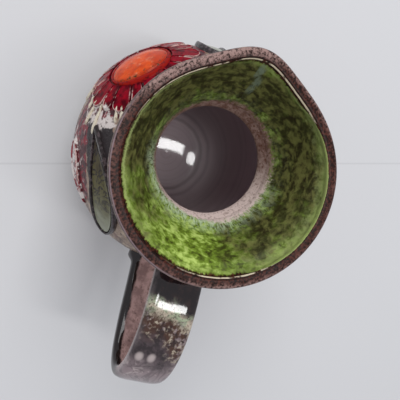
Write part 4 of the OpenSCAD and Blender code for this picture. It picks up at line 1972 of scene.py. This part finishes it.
        def height(depth: Array, flat: Array) -> Array:
            """Height of the dome over the ball.

            Args:
                depth: distances from the edge.
                flat: flat places.

            Returns:
                Heights over the ball.
            """
            r2 = (flat**2).sum(1)
            dome = f.belly_r + self.boss_h - ball + np.sqrt(ball**2 - r2)
            swell = self.boss_rise * (np.sqrt(r2 + dome**2) - f.belly_r)
            wave = self.boss_wave * flat_drift(flat, 170.0, 9.1)
            return swell * (0.4 + 0.6 * ease(depth, 0.0, self.boss_round)) + wave

        steps = (1.0, 0.99, 0.975, 0.95, *np.linspace(0.92, 0.04, 20))
        shape = Shape.pad(outline, np.zeros(2), height, self.sink, steps)
        shape.points = spot.lay(shape.points)
        piece = shape.outward().mesh(f"{side.value}_boss", [self.finishes.orange])
        settle(piece, [f"{side.value}_flower_centre"])
        outer = (self.boss_r + self.ring_w) * np.column_stack([np.cos(a), np.sin(a)])
        inner, finish = 0.97 * outline, self.finishes.boss_line
        line = self.line(f"{side.value}_boss_line", spot, outer, inner, 0.8 * self.petal_h, finish)
        settle(line, [f"{side.value}_flower_ring"])

    def line(
        self,
        name: str,
        spot: Spot,
        outer: Array,
        inner: Array,
        high: float,
        finish: Material,
        bow: float = 0.0,
    ) -> Piece:
        """A rounded raised line between two outlines.

        Args:
            name: the piece's name.
            spot: where it lies.
            outer: its outer outline, flat.
            inner: its inner outline, point for point.
            high: its height.
            finish: its material.
            bow: how sharply its outlines bow.

        Returns:
            The piece.
        """
        b = np.radians(np.linspace(0.0, 180.0, 13))
        share = np.concatenate([0.5 - 0.5 * np.cos(b), [1.0, 0.0]])
        rise = np.concatenate([np.sin(b) ** 0.8, [-1.0, -1.0]])
        flat = outer[:, None] + (inner - outer)[:, None] * share[None, :, None]
        flat[..., 1] -= bow * flat[..., 0] ** 2
        wave = 1.0 + 0.10 * flat_drift(flat, 140.0, 6.4)
        lift = np.where(rise[None] < 0.0, -self.sink, high * rise[None] * wave)
        points = np.concatenate([flat, lift[..., None]], axis=-1).reshape(-1, 3)
        grid = spot.lay(points).reshape(*flat.shape[:2], 3)
        return Shape.ring(grid).outward().mesh(name, [finish])

    @staticmethod
    def drop(length: float, width: float, count: int = 120) -> Array:
        """A leaf's outline, pointed at -X and round at +X.

        Args:
            length: from the point to the round end.
            width: about the greatest width.
            count: how many points.

        Returns:
            The outline.
        """
        t = full_turn(count) + math.pi / count
        y = width / 2.0 * 1.3 * np.sin(t) * np.sin(t / 2.0)
        return np.column_stack([-length / 2.0 * np.cos(t), y])

    def pool(
        self,
        name: str,
        spot: Spot,
        outline: Array,
        high: float,
        edge: float,
        finish: Material,
        bow: float = 0.0,
    ) -> Piece:
        """A pad whose glaze stands higher along its edge.

        Args:
            name: the piece's name.
            spot: where it lies.
            outline: its outline, flat.
            high: its height in the middle.
            edge: its height along the edge.
            finish: its material.
            bow: how sharply its outline bows.

        Returns:
            The piece.
        """

        def height(depth: Array, flat: Array) -> Array:
            """Height of the pool and its border.

            Args:
                depth: distances from the edge.
                flat: flat places.

            Returns:
                Heights over the ball.
            """
            crest = high + (edge - high) * ease(depth, *self.pool_border)
            wave = self.pool_wave * flat_drift(flat, 190.0, 4.2)
            return crest * (0.12 + 0.88 * ease(depth, 0.0, self.edge_round)) + wave

        middle = np.array([outline[:, 0].max() * 0.25, 0.0])
        shape = Shape.pad(outline, middle, height, self.sink)
        shape.points[:, 1] -= bow * shape.points[:, 0] ** 2
        shape.points = spot.lay(shape.points)
        return shape.outward().mesh(name, [finish])

    def runs(self, side: Side, flower: Spot) -> None:
        """Cream glaze that ran from the petals' tips toward the leaves.

        Args:
            side: the flower's flank.
            flower: the flower's middle.
        """

        def height(depth: Array, flat: Array) -> Array:
            """Height of a run, lifted over the petal it starts from.

            Args:
                depth: distances from the edge.
                flat: flat places.

            Returns:
                Heights over the ball.
            """
            over = 0.8 * self.petal_h * ease(flat[:, 0], self.flower_r, self.flower_r - self.run_step)
            return self.run_h * (0.1 + 0.9 * ease(depth, 0.0, self.edge_round)) + over

        made = []
        for k in range(self.run_n):
            fan = self.run_fan * (k / (self.run_n - 1) - 0.5)
            turn = math.radians(fan + self.run_sway * math.sin(2.4 * k))
            length = self.run_l + self.run_l_sway * math.sin(1.7 * k)
            width = self.run_w + self.run_w_sway * math.sin(3.1 * k)
            start = self.flower_r - self.run_tuck
            outline = self.drop(length, width, 36) + np.array([start + length / 2.0, 0.0])
            shape = Shape.pad(outline, outline.mean(0), height, self.sink, (1.0, 0.9, 0.75, 0.5, 0.25))
            spin = np.array([[math.cos(turn), math.sin(turn)], [-math.sin(turn), math.cos(turn)]])
            shape.points[:, :2] = shape.points[:, :2] @ spin
            shape.points = flower.lay(shape.points)
            made.append(shape.outward())
        settle(Shape.merged(made).mesh(f"{side.value}_glaze_runs", [self.finishes.cream]))

    def leaf(self, prefix: str, spot: Spot, length: float, width: float, bow: float = 0.0) -> None:
        """A green leaf: its raised outline and the pool inside.

        Args:
            prefix: what the names of its pieces begin with.
            spot: where it lies.
            length: its length.
            width: its width.
            bow: how sharply its outline bows.
        """
        w2 = 2.0 * self.rim_w
        outer, inner = self.drop(length, width), self.drop(length - w2, width - w2)
        rim = self.line(f"{prefix}_outline", spot, outer, inner, self.rim_h, self.finishes.leaf_rim, bow)
        settle(rim, [f"{prefix}_rim"])
        edge = self.pool_h * 1.25
        pool = self.pool(f"{prefix}_glaze_pool", spot, inner, self.pool_h, edge, self.finishes.leaf_pool, bow)
        settle(pool, [f"{prefix}_pool"])

    def build(self) -> None:
        """Makes both flanks and the leaf under the spout."""
        for side, flower, leaf, spot in zip(Side, self.flowers, self.leaves, self.drops):
            self.wreath(side)
            self.boss(side, flower)
            self.runs(side, flower)
            self.leaf(f"{side.value}_leaf", leaf, self.leaf_l, self.leaf_w, self.leaf_bow)
            outline = self.drop(self.red_leaf_l, self.red_leaf_w)
            high = self.petal_h
            red = self.pool(f"{side.value}_red_drop", spot, outline, high * 0.6, high, self.finishes.drop)
            settle(red, [f"{side.value}_red_leaf"])
        spot = Spot(self.form, -90.0, self.spout_leaf_lat, 90.0)
        self.leaf("spout_leaf", spot, self.spout_leaf_l, self.spout_leaf_w)
        vein = self.drop(self.spout_leaf_l - 3.0 * self.rim_w, self.vein_w)
        high = self.rim_h
        midrib = self.pool("spout_leaf_midrib", spot, vein, high, 0.7 * high, self.finishes.leaf_rim)
        settle(midrib)


@dataclass(frozen=True)
class Froth:
    """Small blisters that the crust raised in the fire."""

    form: JugForm
    finishes: Finishes
    body: Body
    sunk: float = 0.0006
    foot_gap: float = 0.012
    collar_gap: float = 0.002
    per_square_metre: float = 26000.0
    least: float = 0.45
    most: float = 1.25
    dome_r: float = 0.001
    dome_h: float = 0.00042
    root_r: float = 0.0009
    root_h: float = 0.0004
    seed: int = 8

    def blister(self) -> Piece:
        """One low blister two millimetres across, a few faces in all.

        Returns:
            The object, for the tree that strews it.
        """
        b = np.radians([0.0, 35.0, 65.0])
        r = np.concatenate([[self.root_r], self.dome_r * np.cos(b)])
        z = np.concatenate([[-self.root_h], self.dome_h * np.sin(b)])
        a = full_turn(8)[:, None]
        grid = np.stack([r * np.cos(a), r * np.sin(a), np.broadcast_to(z, (8, 4))], axis=-1)
        return Shape.lathe(grid).outward().mesh("blister", [self.finishes.crust])

    def tree(self) -> GeometrySheet:
        """The tree that strews blisters over a ground.

        Returns:
            The tree, ready to run.
        """
        values = {
            "Blister": self.blister(),
            "Density": self.per_square_metre,
            "Least": self.least,
            "Most": self.most,
            "Seed": self.seed,
            "Finish": self.finishes.crust,
        }
        g = GeometrySheet("strewn_froth", values)
        feeds = {"Mesh": g.given["Geometry"], "Density": g.given["Density"], "Seed": g.given["Seed"]}
        strewn = g.node("GeometryNodeDistributePointsOnFaces", feeds, distribute_method="RANDOM")
        feeds = {key: Output(g, strewn.outputs[key]) for key in ("Points", "Rotation")}
        feeds |= {"Instance": g.shape_of("Blister"), "Scale": g.chance(g.given["Least"], g.given["Most"])}
        g.close(g.out("GeometryNodeInstanceOnPoints", feeds))
        return g

    def build(self) -> None:
        """Strews the blisters over the outside of the belly."""
        f = self.form
        z = np.linspace(self.foot_gap, f.collar_z - self.collar_gap, 40)
        grid = f.turn(f.wall(f.belly_r - self.sunk, z))[::4]
        n, m = grid.shape[:2]
        ground = Shape(grid.reshape(-1, 3), Shape.quads(n, m, m - 1)).mesh("froth_ground", [])
        piece = self.tree().run("crust_froth", ground)
        places = np.array([v.co for v in piece.data.vertices])
        marks = self.body.bloom(places[:, None])
        write_marks(piece.data, {key: values[:, 0] for key, values in marks.items()})
        settle(piece)


@dataclass(frozen=True)
class Lamp:
    """A soft lamp that faces the jug, at a distance along a way from it."""

    name: str
    way: Vector
    away: float
    size: Span
    watts: float
    pane: Pane = Pane.SQUARE

    def hang(self, aim: Vector) -> None:
        """Hangs the lamp so that it faces the aim.

        Args:
            aim: the point that it faces.
        """
        data = bpy.data.lights.new(self.name, "AREA")
        data.shape = self.pane.value
        data.size, data.size_y = self.size
        data.energy = self.watts
        way = self.way.normalized()
        made = link(self.name, data)
        made.location = aim + way * self.away
        made.rotation_euler = way.to_track_quat("Z", "Y").to_euler()


@dataclass(frozen=True)
class Studio:
    """Floor, lamps, world and camera, with the seam of the floor at its row in the picture."""

    eye: Triple = (0.0118, -0.0826, 0.3903)
    right: Triple = (-0.303, 0.9129, 0.2733)
    up: Triple = (-0.9523, -0.2791, -0.1235)
    forward: Triple = (0.0365, 0.2977, -0.954)
    aim: Triple = (0.02, 0.0, 0.10)
    lens: float = 46.8
    sensor: float = 36.0
    picture_px: float = 400.0
    seam_row: float = 163.5
    seam_w: float = 0.0012
    seam_grey: str = "a8a8aa"
    backdrop: float = 0.63
    floor_half: float = 3.0
    sky: tuple[float, float, float, float] = (0.93, 0.95, 1.0, 1.0)
    sky_share: float = 0.60

    def toward(self, right: float, up: float, back: float) -> Vector:
        """A way given along the picture's right, up and back to the eye."""
        return Vector(self.right) * right + Vector(self.up) * up - Vector(self.forward) * back

    def camera(self) -> None:
        """Sets the camera at the photograph's view."""
        data = bpy.data.cameras.new("view")
        data.lens = self.lens
        data.sensor_width = self.sensor
        data.clip_start = 0.01
        turn = Matrix((self.right, self.up, tuple(-v for v in self.forward))).transposed().to_4x4()
        made = link("view", data)
        made.matrix_world = Matrix.Translation(self.eye) @ turn
        bpy.context.scene.camera = made

    def seam(self, s: FinishSheet) -> Output:
        """Share of the thin line that crosses the floor at the seam's row.

        Args:
            s: the floor's sheet.

        Returns:
            The share.
        """
        half = self.picture_px / 2.0
        drop = (half - self.seam_row) / half * (self.sensor / 2.0) / self.lens
        ends = [Vector(self.forward) + Vector(self.up) * drop + Vector(self.right) * k for k in (-0.4, 0.4)]
        near, far = (Vector(self.eye) - way * (self.eye[2] / way.z) for way in ends)
        across = Vector((near.y - far.y, far.x - near.x, 0.0)).normalized()
        off = s.vector("DOT_PRODUCT", s.place, across, "Value") - across.dot(near)
        return off.band(0.0, self.seam_w)

    def floor(self) -> None:
        """Lays the pale floor."""
        s = FinishSheet("floor_finish")
        grey = self.backdrop
        cool, warm = (grey * 0.98, grey * 0.98, grey, 1.0), (grey, grey, grey * 1.02, 1.0)
        tone = s.blend(s.noise(6.0, 2.0), cool, warm).lay(self.seam(s) * 0.3, self.seam_grey)
        data = bpy.data.meshes.new("floor")
        half = self.floor_half
        corners = [(-half, -half, 0.0), (half, -half, 0.0), (half, half, 0.0), (-half, half, 0.0)]
        data.from_pydata(corners, [], [(0, 1, 2, 3)])
        data.materials.append(s.close({"Base Color": tone, "Roughness": 0.7, "Specular IOR Level": 0.2}))
        link("floor", data)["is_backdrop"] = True

    def build(self) -> None:
        """Sets the whole studio."""
        scene = bpy.context.scene
        scene.view_settings.view_transform = "Standard"
        self.camera()
        self.floor()
        scene.world = bpy.data.worlds.new("soft_room")
        scene.world.use_nodes = True
        sky = scene.world.node_tree.nodes["Background"].inputs
        sky[0].default_value = self.sky
        sky[1].default_value = self.sky_share
        lamps = (
            Lamp("key", self.toward(0.22, 0.62, 0.75), 1.3, (0.8, 0.8), 7.5),
            Lamp("window", Vector((0.025, 0.265, 1.0)), 1.1, (0.10, 0.42), 2.7),
            Lamp("skylight", Vector((-0.035, -0.040, 1.0)), 1.1, (0.15, 0.15), 0.95, Pane.ROUND),
        )
        for lamp in lamps:
            lamp.hang(Vector(self.aim))


def main() -> None:
    """Builds the jug piece by piece and sets the studio."""
    logging.basicConfig(level=logging.INFO, format="%(name)s: %(message)s")
    form = JugForm()
    finishes = Finishes.fire()
    Studio().build()
    relief = Relief(form, finishes)
    body = Body(form, finishes, relief)
    body.build()
    Handle(form, finishes).build()
    relief.build()
    Froth(form, finishes, body).build()
    sizes = {"cad": [list(map(float, v)) for v in CAD_BOX], "looks": [list(map(float, v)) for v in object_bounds()]}
    log.info("solids %s, looks %s", sizes["cad"], sizes["looks"])


if __name__ == "__main__":
    main()
